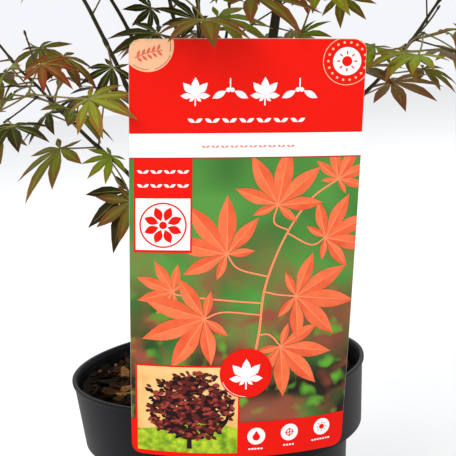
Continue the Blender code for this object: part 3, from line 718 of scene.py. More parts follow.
def card_point(across, down, out=0.0):
    """A point of the card: across from its middle line, down from its top edge, out from its
    middle surface. The card leans out from the pot, is turned a little in its own plane, and
    bends across, more towards its foot. Takes numbers or arrays."""
    azimuth = math.radians(CARD_AZIMUTH)
    outward = np.array([math.cos(azimuth), math.sin(azimuth), 0])
    tangent = np.array([-math.sin(azimuth), math.cos(azimuth), 0])
    level = np.array([0, 0, 1.0])
    up = math.cos(CARD_LEAN) * level + math.sin(CARD_LEAN) * outward
    normal = math.cos(CARD_LEAN) * outward - math.sin(CARD_LEAN) * level
    right = math.cos(CARD_TURN) * tangent + math.sin(CARD_TURN) * up
    rise = math.cos(CARD_TURN) * up - math.sin(CARD_TURN) * tangent
    across, down, out = (np.asarray(a, float)[..., None] for a in (across, down, out))
    share = down / CARD_LENGTH
    bend = CARD_TOP_BEND + (CARD_FOOT_BEND - CARD_TOP_BEND) * share
    bend = np.where(np.abs(bend) < 1e-3, 1e-3, bend)
    turn = across * bend
    side = np.sin(turn) / bend
    back = (np.cos(turn) - 1) / bend + 4 * CARD_BOW * share * (1 - share)
    foot = outward * CARD_FOOT_RADIUS + level * (POT_HEIGHT - CARD_FOOT_DROP)
    facing = np.cos(turn) * normal + np.sin(turn) * right
    return foot + side * right + back * normal + (CARD_LENGTH - down) * rise + out * facing


def card_half_width(down):
    """Half the card's width, less near its ends, where its corners are round."""
    from_end = np.minimum(down, CARD_LENGTH - down)
    rest = np.clip(CARD_CORNER - from_end, 0, CARD_CORNER)
    return CARD_WIDTH / 2 - CARD_CORNER + np.sqrt(CARD_CORNER**2 - rest**2)


def card_sheet(thickness, columns, rows):
    """The card as one closed solid: its front and back, each a grid of points, and a band round
    the edge."""
    down = np.asarray(rows, float)[:, None]
    across = card_half_width(down) * np.linspace(-1, 1, columns + 1)[None]
    down = np.broadcast_to(down, across.shape)
    points = np.stack([card_point(across, down, s * thickness / 2) for s in (1, -1)])
    tall, wide = across.shape
    front = grid_faces(tall, wide)[:, ::-1]
    back = grid_faces(tall, wide) + tall * wide
    index = np.arange(tall * wide).reshape(tall, wide)
    edge = np.concatenate([index[:, 0], index[-1, 1:], index[-2::-1, -1], index[0, -2:0:-1]])
    following = np.roll(edge, -1)
    band = np.stack([edge, edge + tall * wide, following + tall * wide, following], -1)
    return points.reshape(-1, 3), [front, back, band]


def card_rows(middle):
    """Distances down the card, closer together at its round corners."""
    ends = CARD_CORNER * (1 - np.cos(np.radians([0, 32, 60, 90])))
    inner = CARD_CORNER + (CARD_LENGTH - 2 * CARD_CORNER) * np.arange(1, middle) / middle
    return np.concatenate([ends, inner, CARD_LENGTH - ends[::-1]])


class Space:
    """What is already in the crown, as surfaces that a new twig or leaf must not touch."""

    def __init__(self):
        self.items = []

    def add(self, owner, points, faces):
        centre = sum(points, Vector()) / len(points)
        radius = max((p - centre).length for p in points)
        self.items.append((owner, centre, radius, BVHTree.FromPolygons(points, faces)))

    def touches(self, points, faces, ignore=()):
        centre = sum(points, Vector()) / len(points)
        radius = max((p - centre).length for p in points)
        tree = BVHTree.FromPolygons(points, faces)
        for owner, other, reach, surface in self.items:
            if owner in ignore or (other - centre).length > radius + reach:
                continue
            if tree.overlap(surface):
                return True
        return False


def leaf_ring(size, notch):
    """The leaf's outline in its own plane: the tips of its lobes, the notches between, the heel."""
    ring = []
    for i, (angle, share) in enumerate(ALL_LOBES):
        ring.append((math.radians(angle), size * share))
        if i + 1 < len(ALL_LOBES):
            after, next_share = ALL_LOBES[i + 1]
            ring.append((math.radians((angle + after) / 2), size * notch * min(share, next_share)))
    ring.append((math.pi, size * HEEL))
    return ring


def leaf_solid(place, size, thickness, notch, grow):
    """The leaf as a thin closed blade for the clearance tests."""
    points = [place @ Vector((0, 0, thickness / 2)), place @ Vector((0, 0, -thickness / 2))]
    ring = leaf_ring(size, notch)
    for angle, reach in ring:
        fall = -BLADE_DROOP * reach * reach / size
        points.append(
            place @ Vector((reach * grow * math.cos(angle), reach * grow * math.sin(angle), fall))
        )
    faces = []
    for i in range(len(ring)):
        a, b = 2 + i, 2 + (i + 1) % len(ring)
        faces.append((0, a, b))
        faces.append((1, b, a))
    return points, faces


def blade_frame(foot, along, face):
    """A blade's place: its foot, the way its middle lobe points and the way it faces."""
    x = along.normalized()
    z = (face - x * face.dot(x)).normalized()
    y = z.cross(x)
    return Matrix.Translation(foot) @ Matrix((x, y, z)).transposed().to_4x4()


def heel_of(place, size):
    """Where a leaf's stalk meets its blade."""
    return place @ Vector((-0.55 * HEEL * size, 0, 0))


def shoot_path(start, direction, reach, rng):
    """Steps that turn a little towards the sky and a little at random."""
    path, way = [start], direction.normalized()
    for _ in range(max(2, round(reach / SHOOT_STEP))):
        turn = Vector([rng.uniform(-SHOOT_WANDER, SHOOT_WANDER) for _ in range(3)])
        way = (way + Vector((0, 0, SHOOT_LIFT)) + turn).normalized()
        path.append(path[-1] + way * SHOOT_STEP)
    return path


def along_path(path, distance):
    """(point, direction) at this distance along a path."""
    for a, b in zip(path, path[1:]):
        step = (b - a).length
        if distance <= step or b is path[-1]:
            return a.lerp(b, min(1.0, distance / step)), (b - a).normalized()
        distance -= step


def path_length(path):
    return sum((b - a).length for a, b in zip(path, path[1:]))


def pair_axis(way, turn):
    """A direction square to a twig: level at turn 0, upright at a quarter turn."""
    level = way.cross(Vector((0, 0, 1)))
    level = level.normalized() if level.length > 1e-3 else Vector((1, 0, 0))
    return math.cos(turn) * level + math.sin(turn) * level.cross(way).normalized()


def card_solid():
    """The thickened card for the clearance tests, as coarse as the solids' own."""
    points, faces = card_sheet(0.004, 8, card_rows(8))
    return [Vector(p) for p in points], [tuple(f) for part in faces for f in part.tolist()]


def obstacles():
    """The crown before it has foliage: the limbs, the card and the pot's rim."""
    space = Space()
    path = trunk_path()
    space.add("trunk", *tube_solid(path, trunk_radii(path, 0.001), TRUNK_SIDES))
    for name in BOUGHS:
        path = bough_path(name)
        radii = tapered(len(path), BOUGH_RADIUS + 0.0006, BOUGH_TIP_RADIUS + 0.0006)
        for a in range(0, len(path) - 1, 2):
            points, faces = tube_solid(path[a : a + 3], radii[a : a + 3], BOUGH_SIDES)
            space.add("bough_" + name, points, faces)
    space.add("label_card", *card_solid())
    ring = [heading(10 * k, 0) * RIM_RADIUS for k in range(37)]
    for a, b in zip(ring, ring[1:]):
        path = [p + Vector((0, 0, POT_HEIGHT)) for p in (a, b)]
        space.add("pot", *tube_solid(path, [0.004, 0.004], 4))
    return space


def hides_card(points):
    """True if any of these points is in front of the card's face."""
    outward = heading(CARD_AZIMUTH, 0)
    tangent = Vector((-outward.y, outward.x, 0))
    top = card_point(0, 0)[2] + 0.012
    for point in points:
        in_front = point.dot(outward) > CARD_FOOT_RADIUS
        if in_front and point.z < top and abs(point.dot(tangent)) < CARD_WIDTH / 2 + 0.012:
            return True
    return False


def mass_starts():
    """Where each mass's stem starts, a hair past its limb's tip, its direction and length."""
    starts = {}
    for name, (*_, azimuth, elevation, reach) in BOUGHS.items():
        way = heading(azimuth, elevation)
        starts[name] = (Vector(BOUGHS[name][1]) + way * GAP, way, reach)
    azimuth, elevation, reach = LEADER
    way = heading(azimuth, elevation)
    starts["leader"] = (trunk_path()[-1] + way * GAP, way, reach)
    return starts


def plan_twigs(space, rng):
    """Every mass's stem and side twigs as (path, first radius, last radius), stems first."""
    masses = {}
    for name, (start, way, reach) in mass_starts().items():
        path = shoot_path(start, way, reach, rng)
        masses[name] = [(path, SHOOT_RADIUS, SHOOT_TIP_RADIUS)]
        radii = tapered(len(path), SHOOT_RADIUS + GAP, SHOOT_TIP_RADIUS + GAP)
        space.add(name, *tube_solid(path, radii, 3))
    for name, twigs in masses.items():
        stem = twigs[0][0]
        reach = path_length(stem)
        count = int((reach - FIRST_NODE) / NODE_SPACING)
        for k in range(1, count + 1, TWIG_EVERY):
            node, way = along_path(stem, FIRST_NODE + k * NODE_SPACING)
            axis = pair_axis(way, rng.uniform(-0.4, 0.4))
            for side in (1, -1):
                long = rng.uniform(*TWIG_LENGTH) * (1.0 - 0.35 * k / (count + 1))
                path = shoot_path(node, way * 0.6 + axis * side, long, rng)
                radii = tapered(len(path), SHOOT_TIP_RADIUS, SHOOT_TIP_RADIUS * 0.8)
                fat = [r + 0.0006 for r in radii]
                points, faces = tube_solid(path, fat, 3)
                if hides_card(path) or space.touches(points, faces, ignore=(name,)):
                    continue
                twigs.append((path, radii[0], radii[-1]))
                space.add(name, points, faces)
    return masses


def place_leaf(space, owner, node, place, size, check_card=True):
    """Adds the leaf to the space if it is clear of everything in it."""
    blade = leaf_solid(place, size, 0.0022, 0.55, 1.02)
    radius = PETIOLE_RADIUS + 0.0005
    stalk = tube_solid([node, heel_of(place, size)], [radius, radius * 0.6], 3)
    if check_card and hides_card(blade[0]):
        return False
    if min(p.z for p in blade[0]) < POT_HEIGHT + 0.004:
        return False
    if space.touches(*blade) or space.touches(*stalk, ignore=(owner,)):
        return False
    space.add(owner + " leaf", *blade)
    space.add(owner, *stalk)
    return True


def leaf_candidates(node, way, out, size, rng):
    """Ways to hang a leaf on a node: the first is the wanted one, the rest vary it."""
    for k in range(LEAF_TRIES):
        spread = 0.10 + 0.10 * k
        wander = Vector([rng.uniform(-spread, spread) for _ in range(3)])
        lean = (out + way * 0.55 + Vector((0, 0, 0.25)) + wander).normalized()
        stalk = rng.uniform(*PETIOLE_LENGTH) * (0.55 + 0.45 * size / LEAF_LENGTH)
        foot = node + lean * stalk
        flat = Vector((lean.x, lean.y, 0))
        flat = flat.normalized() if flat.length > 0.05 else heading(rng.uniform(0, 360), 0)
        drop = math.radians(rng.uniform(4, 40))
        along = math.cos(drop) * flat - Vector((0, 0, math.sin(drop)))
        roll = rng.uniform(-0.45, 0.45)
        level = flat.cross(Vector((0, 0, 1)))
        face = Vector((0, 0, 1)) + roll * level + flat * 0.25
        yield blade_frame(foot, along, face), size * rng.uniform(0.94, 1.06)


def in_open_tier(place, size):
    """True if the middle of this blade is in the tier that is kept open."""
    middle = place @ Vector((0.45 * size, 0, -0.05 * size))
    return OPEN_TIER[0] < middle.z < OPEN_TIER[1]


def node_leaves(space, owner, path, distance, turn, size, rng, allowed=None):
    """An opposite pair of leaves on one node."""
    node, way = along_path(path, distance)
    axis = pair_axis(way, turn)
    made = []
    for side in (1, -1):
        spared = rng.random() < OPEN_SHARE
        for place, long in leaf_candidates(node, way, axis * side, size, rng):
            if in_open_tier(place, long) and not spared:
                continue
            if allowed and not allowed(place, long):
                continue
            if place_leaf(space, owner, node, place, long):
                made.append((node, place, long))
                break
    return made


def chosen_leaves(space, masses):
    """The leaves whose place is given, each on the nearest point of its mass's twigs."""
    made = {name: [] for name in masses}
    tints = {}
    for name, foot, azimuth, elevation, face_azimuth, face_rise, size, tint in CHOSEN_LEAVES:
        foot = Vector(foot)
        twigs = [point for path, _, _ in masses[name] for point in path[1:]]
        node = min(twigs, key=lambda point: (point - foot).length)
        place = blade_frame(foot, heading(azimuth, elevation), heading(face_azimuth, face_rise))
        if place_leaf(space, name, node, place, size, check_card=False):
            made[name].append((node, place, size))
            tints[name, len(made[name]) - 1] = tint
    return made, tints


def plan_foliage():
    """Every mass as its twigs and its leaves. A leaf that would touch anything is left out."""
    rng = random.Random(SEED)
    space = obstacles()
    masses = plan_twigs(space, rng)
    leaves, tints = chosen_leaves(space, masses)
    for name, twigs in masses.items():
        for order, (path, _, _) in enumerate(twigs):
            reach = path_length(path)
            first = FIRST_NODE if order == 0 else TWIG_FIRST_NODE
            count = int((reach - first) / NODE_SPACING) + 1
            turn = rng.uniform(0, math.pi)
            for k in range(count):
                ripe = 1.0 - 0.38 * (first + k * NODE_SPACING) / reach
                size = LEAF_LENGTH * ripe * rng.uniform(0.9, 1.08)
                leaves[name] += node_leaves(
                    space, name, path, first + k * NODE_SPACING, turn, size, rng
                )
                turn += math.pi / 2 + rng.uniform(-0.3, 0.3)
            size = LEAF_LENGTH * rng.uniform(0.5, 0.66)
            leaves[name] += node_leaves(space, name, path, reach - 0.002, turn, size, rng)
    return space, masses, leaves, tints


def finer_growth(space, masses, leaves):
    """Carries the plan on within each mass's own reach: short twiglets with small leaves, and
    small pairs between the nodes that already bear leaves."""
    rng = random.Random(SEED + 1)
    for name, twigs in masses.items():
        low, high = (Vector(corner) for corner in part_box("foliage_" + name))

        def inside(place, size, low=low, high=high):
            tips = [place @ Vector((size, 0, 0)), place @ Vector((0, size * 0.7, 0)), place.translation]
            tips.append(place @ Vector((0, -size * 0.7, 0)))
            if any(OPEN_TIER[0] < p.z < OPEN_TIER[1] for p in tips):
                return False
            return all(low[i] - 0.003 < p[i] < high[i] + 0.003 for p in tips for i in range(3))

        for order, (path, _, _) in enumerate(list(twigs)):
            reach = path_length(path)
            for share in (0.34, 0.62, 0.86) if order == 0 else (0.62,):
                node, way = along_path(path, reach * share)
                axis = pair_axis(way, rng.uniform(0, math.pi))
                for side in (1, -1):
                    twig = shoot_path(node, way * 0.7 + axis * side, rng.uniform(0.024, 0.036), rng)
                    radii = tapered(len(twig), 0.00055, 0.00045)
                    solid = tube_solid(twig, [r + 0.0006 for r in radii], 3)
                    if hides_card(twig) or space.touches(*solid, ignore=(name,)):
                        continue
                    size = LEAF_LENGTH * rng.uniform(0.5, 0.72)
                    turn = rng.uniform(0, math.pi)
                    grown = node_leaves(
                        space, name, twig, path_length(twig) - 0.002, turn, size, rng, inside
                    )
                    if grown:
                        twigs.append((twig, radii[0], radii[-1]))
                        space.add(name, *solid)
                        leaves[name] += grown
            for distance in np.arange(FIRST_NODE + NODE_SPACING / 2, reach - 0.006, NODE_SPACING):
                size = LEAF_LENGTH * rng.uniform(0.5, 0.75)
                turn = rng.uniform(0, math.pi)
                leaves[name] += node_leaves(space, name, path, distance, turn, size, rng, inside)


# ---------------------------------------------------------------- pot, compost and mulch


def collar_radius(z):
    """The collar's outside, which widens from its foot up to the bead."""
    share = np.clip((z - COLLAR_FOOT) / (BEAD_FOOT - COLLAR_FOOT), 0, 1)
    return COLLAR_FOOT_RADIUS + share * (RIM_RADIUS - BEAD_STAND - COLLAR_FOOT_RADIUS)


def pot_profile(corner):
    """The pot's outline from the middle of its underside, up its outside, over the rim and down
    its inside to the middle of its floor, with rounded corners."""
    outline = [
        (0.0, 0.0),
        (BASE_RADIUS - BASE_EDGE, 0.0),
        (BASE_RADIUS, BASE_EDGE),
        (BODY_TOP_RADIUS, LEDGE),
        (COLLAR_INNER_FOOT, LEDGE),
        (COLLAR_INNER_FOOT + WALL * 0.4, COLLAR_FOOT),
        (COLLAR_FOOT_RADIUS, COLLAR_FOOT),
        (RIM_RADIUS - BEAD_STAND, BEAD_FOOT),
        (RIM_RADIUS, BEAD_FOOT + 0.0008),
        (RIM_RADIUS, POT_HEIGHT),
        (RIM_RADIUS - LIP_WIDTH, POT_HEIGHT),
        (collar_radius(BEAD_FOOT) - WALL - 0.0004, BEAD_FOOT),
        (COLLAR_INNER_FOOT, LEDGE + WALL),
        (BODY_TOP_RADIUS - WALL, LEDGE + WALL),
        (BASE_RADIUS - WALL, FLOOR),
        (0.0, FLOOR),
    ]
    return rounded(outline, corner)


class MAPLE_OT_pot(bpy.types.Operator):
    """Makes the pot and finishes the label's clip"""

    bl_idname = "maple.pot"
    bl_label = "Pot"

    def execute(self, context):
        settings = context.scene.maple_pot
        look = dict(bump=0.00004, specular=0.11)
        finish = mottled("pot plastic", settings.plastic, settings.dust, 0.50, 900, 0.16, **look)
        points, faces = turned(pot_profile(settings.corner), POT_COLUMNS)
        pot = mesh_piece("nursery_pot", points, faces, finish, "pot_plastic", ("pot",))
        turn = math.tau * (np.arange(DRAIN_HOLES) + 0.5) / DRAIN_HOLES
        ends = np.stack([np.cos(turn) * DRAIN_CIRCLE, np.sin(turn) * DRAIN_CIRCLE, 0 * turn], -1)
        axes = ends[:, None] + np.array([[0, 0, -0.004], [0, 0, 0.006]])[None]
        holes, sides = tube(axes, np.full((DRAIN_HOLES, 2), DRAIN_RADIUS), HOLE_SIDES)
        drill(pot, holes, sides)
        clip = frame["nodes"]["label_clip"]
        clip.data.materials.clear()
        clip.data.materials.append(
            mottled("clip plastic", settings.clip, settings.dust, 0.42, 500, 0.10, bump=0.00002)
        )
        return {"FINISHED"}


def drill(piece, points, faces):
    """Cuts these closed shapes out of a piece, and leaves no cutter behind."""
    cutter_mesh = bpy.data.meshes.new("cutter")
    cutter_mesh.from_pydata(
        points.reshape(-1, 3).tolist(), [], [f for part in faces for f in part.tolist()]
    )
    cutter = linked("cutter", cutter_mesh)
    cut = piece.modifiers.new("holes", "BOOLEAN")
    cut.operation = "DIFFERENCE"
    cut.object = cutter
    graph = bpy.context.evaluated_depsgraph_get()
    made = bpy.data.meshes.new_from_object(piece.evaluated_get(graph))
    piece.modifiers.remove(cut)
    piece.data = made
    made.shade_smooth()
    made.set_sharp_from_angle(angle=math.radians(38))
    bpy.data.objects.remove(cutter)


def inner_radius(z):
    """The inside of the pot's collar at this height."""
    low = (COLLAR_INNER_FOOT, LEDGE + WALL)
    high = (collar_radius(BEAD_FOOT) - WALL - 0.0004, BEAD_FOOT)
    return low[0] + (high[0] - low[0]) * (z - low[1]) / (high[1] - low[1])


def banked(points, bank):
    """How much higher the mulch lies at these points: it was filled in from one side. It rises
    with the square of the distance towards that side and falls a little with that to the back."""
    x, y = points[..., 0] / RIM_RADIUS, points[..., 1] / RIM_RADIUS
    rise = np.clip(x * BANK_SIDE[0] + y * BANK_SIDE[1], 0, None) ** 2
    return bank * (rise - BACK_DIP * np.clip(y, 0, None) ** 2)


class MAPLE_OT_soil(bpy.types.Operator):
    """Makes the compost that fills the pot"""

    bl_idname = "maple.soil"
    bl_label = "Compost"

    def execute(self, context):
        settings = context.scene.maple_soil
        ledge = LEDGE + WALL
        edge = inner_radius(POT_HEIGHT - SOIL_DROP) - GAP
        top = np.array([[edge * r, soil_height(edge * r)] for r in np.linspace(1, 0, SOIL_RINGS)])
        side = [
            (0.0, FLOOR + GAP),
            (BASE_RADIUS - WALL - GAP, FLOOR + GAP),
            (BODY_TOP_RADIUS - WALL - GAP, ledge + GAP),
            (COLLAR_INNER_FOOT - GAP, ledge + GAP),
        ]
        points, faces = turned(np.concatenate([side, top]), SOIL_COLUMNS)
        reach = np.hypot(points[:, 0], points[:, 1])
        on_top = (points[:, 2] > POT_HEIGHT - SOIL_DROP - 0.001) & (reach < edge - 0.001)
        height = lumps(points, 0.006, 1) + 0.6 * lumps(points, 0.0025, 2)
        relief = settings.relief * height * 0.6 + banked(points, settings.bank)
        points[:, 2] += np.where(on_top, relief, 0.0)
        look = dict(bump=0.0006, specular=0.04)
        finish = mottled("damp compost", settings.compost, settings.bark_dark, 0.95, 400, 0.8, **look)
        mesh_piece("compost", points, faces, finish, "compost", ("soil",))
        return {"FINISHED"}


def chip_shapes(count, size, rng):
    """Bark chips as bent irregular slabs: two rings of nine points round a middle, the lower one
    smaller, with a random outline, and a point on each face. The bend lifts or drops a point by its
    distance along the chip squared. Returns (count, 20, 3), the faces and the chips' lengths."""
    turn = np.linspace(0, math.tau, 9, endpoint=False)[None] + rng.uniform(-0.22, 0.22, (count, 9))
    outline = rng.uniform(0.66, 1.06, (count, 9))
    long = size * rng.lognormal(0, 0.36, count)
    wide = np.minimum(long * rng.uniform(0.25, 0.62, count), 0.0085)
    thick = wide * rng.uniform(0.16, 0.34, count)
    x = np.cos(turn) * outline * long[:, None] / 2
    y = np.sin(turn) * outline * wide[:, None] / 2
    bend = rng.normal(0, 0.7, (count, 1)) * wide[:, None] * (x / long[:, None]) ** 2
    top = np.stack([x, y, bend + thick[:, None] * rng.uniform(0.35, 0.6, (count, 9))], -1)
    under = np.stack([x * 0.9, y * 0.86, bend - thick[:, None] * 0.5], -1)
    middle = np.zeros((count, 2, 3))
    middle[:, 0, 2] = thick * 0.62
    middle[:, 1, 2] = -thick * 0.55
    points = np.concatenate([top, under, middle], 1)
    j = np.arange(9)
    k = (j + 1) % 9
    band = np.stack([j + 9, k + 9, k, j], -1)
    fans = np.concatenate(
        [np.stack([j, k, np.full(9, 18)], -1), np.stack([k + 9, j + 9, np.full(9, 19)], -1)]
    )
    return points, [band, fans], long


class MAPLE_OT_mulch(bpy.types.Operator):
    """Scatters bark chips on the compost, dark, brown and orange ones apart"""

    bl_idname = "maple.mulch"
    bl_label = "Bark mulch"

    def execute(self, context):
        settings = context.scene.maple_soil
        rng = np.random.default_rng(SEED)
        points, faces, long = chip_shapes(settings.chips, settings.chip_length, rng)
        edge = inner_radius(POT_HEIGHT - SOIL_DROP)
        away = np.sqrt(rng.uniform(0, 1, len(long))) * (edge - 0.0008 - long * 0.56)
        azimuth = rng.uniform(0, math.tau, len(long))
        place = np.stack([away * np.cos(azimuth), away * np.sin(azimuth), 0 * away], -1)
        from_stem = place[:, :2] - np.array(TRUNK_FOOT)
        gap = np.linalg.norm(from_stem, axis=1, keepdims=True)
        clear = TRUNK_FLARE + 0.0015 + long[:, None] * 0.5
        place[:, :2] = np.array(TRUNK_FOOT) + from_stem / gap * np.maximum(gap, clear)
        place[:, 2] = POT_HEIGHT - SOIL_DROP + SOIL_CROWN * (1 - (away / RIM_RADIUS) ** 2)
        place[:, 2] += 0.0012 + rng.uniform(0, 0.0042, len(long)) + banked(place, settings.bank)
        tilt = rng.normal(0, 1, (2, len(long))) * np.array([[0.50], [0.30]])
        points = turned_about(points, rng.uniform(0, math.tau, len(long)), tilt)
        points += place[:, None]
        kinds = (
            ("mulch_dark", settings.bark_dark, settings.compost, 0.0, 0.52),
            ("mulch_brown", settings.bark_brown, settings.bark_dark, 0.52, 0.86),
            ("mulch_orange", settings.bark_orange, settings.bark_brown, 0.86, 1.0),
        )
        share = rng.uniform(0, 1, len(long))
        for name, base, second, low, high in kinds:
            chosen = points[(share >= low) & (share < high)]
            look = dict(bump=0.0004, specular=0.04)
            finish = mottled(name.replace("_", " "), base, second, 0.9, 700, 0.8, **look)
            copies = [repeated(f, len(chosen), points.shape[1]) for f in faces]
            mesh_piece(name, chosen, copies, finish, "compost")
        return {"FINISHED"}


def turned_about(points, yaw, tilt):
    """Each copy of a shape turned: about X and Y by its two tilts, then about Z by its yaw."""
    for axis, angle in ((0, tilt[0]), (1, tilt[1]), (2, yaw)):
        a, b = [(1, 2), (2, 0), (0, 1)][axis]
        c, s = np.cos(angle)[:, None], np.sin(angle)[:, None]
        moved = points.copy()
        moved[..., a] = c * points[..., a] - s * points[..., b]
        moved[..., b] = s * points[..., a] + c * points[..., b]
        points = moved
    return points


# ---------------------------------------------------------------- wood


class MAPLE_OT_trunk(bpy.types.Operator):
    """Makes the trunk with its root flare, its bark's relief and its pruned tip"""

    bl_idname = "maple.trunk"
    bl_label = "Trunk"

    def execute(self, context):
        settings = context.scene.maple_wood
        path = trunk_path(150)
        centres = np.array(path)
        radii = np.array(trunk_radii(path))[:, None]
        sides = 28
        turn, height = np.meshgrid(
            np.linspace(0, math.tau, sides, endpoint=False), centres[:, 2] - centres[0, 2]
        )
        place = np.stack([np.cos(turn), np.sin(turn), height / 0.03], -1)
        grain = lumps(place, 0.42, 5) + 0.5 * lumps(place * [2, 2, 1], 0.36, 6)
        roots = 0.16 * np.cos(5 * turn + 0.7) * np.exp(-height / 0.010)
        rings = sum(np.exp(-(((height - h) / 0.0016) ** 2)) for h in self.scars(centres))
        relief = 1 + settings.relief * 0.5 * grain + roots * 0.5 + 0.07 * rings
        relief[-3:] *= np.array([0.97, 0.86, 0.60])[:, None]
        look = dict(bump=0.0003, stretch=(1, 1, 0.22), specular=0.15)
        finish = mottled("bark", settings.bark, settings.streak, 0.72, 260, 0.75, **look)
        points, faces = tube(centres, (radii * relief)[None], sides)
        mesh_piece("trunk_bark", points, faces, finish, "bark", ("trunk",))
        return {"FINISHED"}

    @staticmethod
    def scars(centres):
        """Heights above the foot of the bud-scale rings: one above each bough's foot."""
        return [height + 0.007 - centres[0, 2] for height, *_ in BOUGHS.values()]


class MAPLE_OT_limbs(bpy.types.Operator):
    """Makes each bough and the shoot that carries it on as one limb, and then the twigs"""

    bl_idname = "maple.limbs"
    bl_label = "Boughs and twigs"

    def execute(self, context):
        settings = context.scene.maple_wood
        masses = crown()["masses"]
        limbs, twigs = [], []
        for name, shoots in masses.items():
            limbs.append(self.limb(name, shoots[0][0]))
            for path, first, last in shoots[1:]:
                centres = smooth_path(path, 0.0022)
                share = np.linspace(0, 1, len(centres))
                distance = share * path_length(path)
                radii = first + (last - first) * share + self.collar(distance, 0.0, 0.5 * first)
                radii += self.collar(distance, TWIG_FIRST_NODE, 0.35 * first)
                radii += self.collar(distance, distance[-1] - 0.002, 0.6 * first)
                twigs.append(tube(centres, radii, 7))
        look = dict(bump=0.0002, stretch=(1, 1, 0.3), specular=0.18)
        wood = mottled("limb bark", settings.young, settings.streak, 0.62, 300, 0.5, **look)
        shoot = mottled("young wood", settings.young, settings.flush, 0.5, 60, 0.9, specular=0.18)
        replaced = ["bough_" + name for name in BOUGHS]
        mesh_piece("boughs_and_shoots", *gathered(limbs), wood, "bark", replaced)
        mesh_piece("twigs", *gathered(twigs), shoot, "bark")
        return {"FINISHED"}

    @staticmethod
    def collar(distance, at, height):
        """A swelling round a node: height times exp(-(d / 1.6 mm)^2)."""
        return height * np.exp(-(((distance - at) / 0.0016) ** 2))

    def limb(self, name, stem):
        """A bough and its shoot: their radius tapers along both, with a swelling at each node."""
        bough = bough_path(name, 12)[:-1] if name in BOUGHS else []
        centres = smooth_path(list(bough) + list(stem), 0.0022)
        steps = np.linalg.norm(np.diff(centres, axis=0), axis=1)
        distance = np.concatenate([[0], np.cumsum(steps)])
        joint = distance[-1] - path_length(stem)
        first = BOUGH_RADIUS if name in BOUGHS else SHOOT_RADIUS * 1.25
        knots = [0, max(joint, 1e-4), distance[-1]]
        radii = np.interp(distance, knots, [first, SHOOT_RADIUS * 1.06, SHOOT_TIP_RADIUS])
        radii += 0.0011 * np.exp(-distance / 0.007)
        for node in np.arange(joint + FIRST_NODE, distance[-1], NODE_SPACING):
            radii += self.collar(distance, node, 0.42 * SHOOT_RADIUS)
        for node in np.arange(0.03, joint - 0.005, 0.031):
            radii += self.collar(distance, node, 0.22 * BOUGH_RADIUS)
        turn, along = np.meshgrid(np.linspace(0, math.tau, 10, endpoint=False), distance / 0.012)
        relief = 1 + 0.05 * lumps(np.stack([np.cos(turn), np.sin(turn), along], -1), 0.6, 9)
        return tube(centres, (radii[:, None] * relief)[None], 10)


# ---------------------------------------------------------------- foliage

CROWN = {}
TINTS = ("bronze", "olive", "dark", "green", "red", "amber")


def crown():
    """The crown's plan, worked out once: its twigs, its leaves and each leaf's tint."""
    if not CROWN:
        space, masses, leaves, tints = plan_foliage()
        finer_growth(space, masses, leaves)
        rng = random.Random(SEED + 2)
        sprays = {}
        for name, grown in leaves.items():
            spray = rng.choices(TINTS, (36, 26, 20, 7, 5, 6))[0]
            for i, (_, _, size) in enumerate(grown):
                if i % 6 == 0:
                    spray = rng.choices(TINTS, (36, 26, 20, 7, 5, 6))[0]
                tint = tints.get((name, i)) or spray
                if (name, i) not in tints and rng.random() < 0.25:
                    tint = rng.choices(TINTS, (34, 24, 18, 8, 8, 8))[0]
                if size < 0.6 * LEAF_LENGTH and rng.random() < 0.35 and (name, i) not in tints:
                    tint = "red"
                sprays[name, i] = tint
        CROWN.update(masses=masses, leaves=leaves, tints=sprays)
    return CROWN


def lobe_outline(share):
    """A lobe's width along it, of its greatest: (s/0.51)^1.3 ((1-s)/0.49)^1.25, which is widest at
    the middle and drawn out to a fine tip."""
    return (share / 0.51) ** 1.3 * ((1 - share) / 0.49) ** 1.25


def lobe_width(share, half_gap, settings, teeth):
    """Half the width of a lobe along it, of its length: the outline, toothed, and never past the
    line halfway to the next lobe."""
    free = settings.lobe_width * lobe_outline(share) * (1 + settings.tooth * teeth)
    return np.minimum(free, share * np.tan(half_gap))


# For the five long lobes and for the two at the foot: which lobes, shares along them, teeth there.
MARGINS = (
    ((1, 2, 3, 4, 5), (0.18, 0.40, 0.60, 0.80), (0, 0.4, 0.6, -0.2)),
    ((0, 6), (0.24, 0.50, 0.78), (0, 0.5, 0)),
)
# The zone along the veins, likewise: which lobes, shares, its share of the blade's width, its end.
HEARTS = (
    ((1, 2, 3, 4, 5), (0.18, 0.38, 0.60), (0.93, 0.60, 0.33), 0.82),
    ((0, 6), (0.22, 0.45), (0.90, 0.50), 0.70),
)
HEART_LIFT = 0.00013
VEIN_LIFT = 0.00032


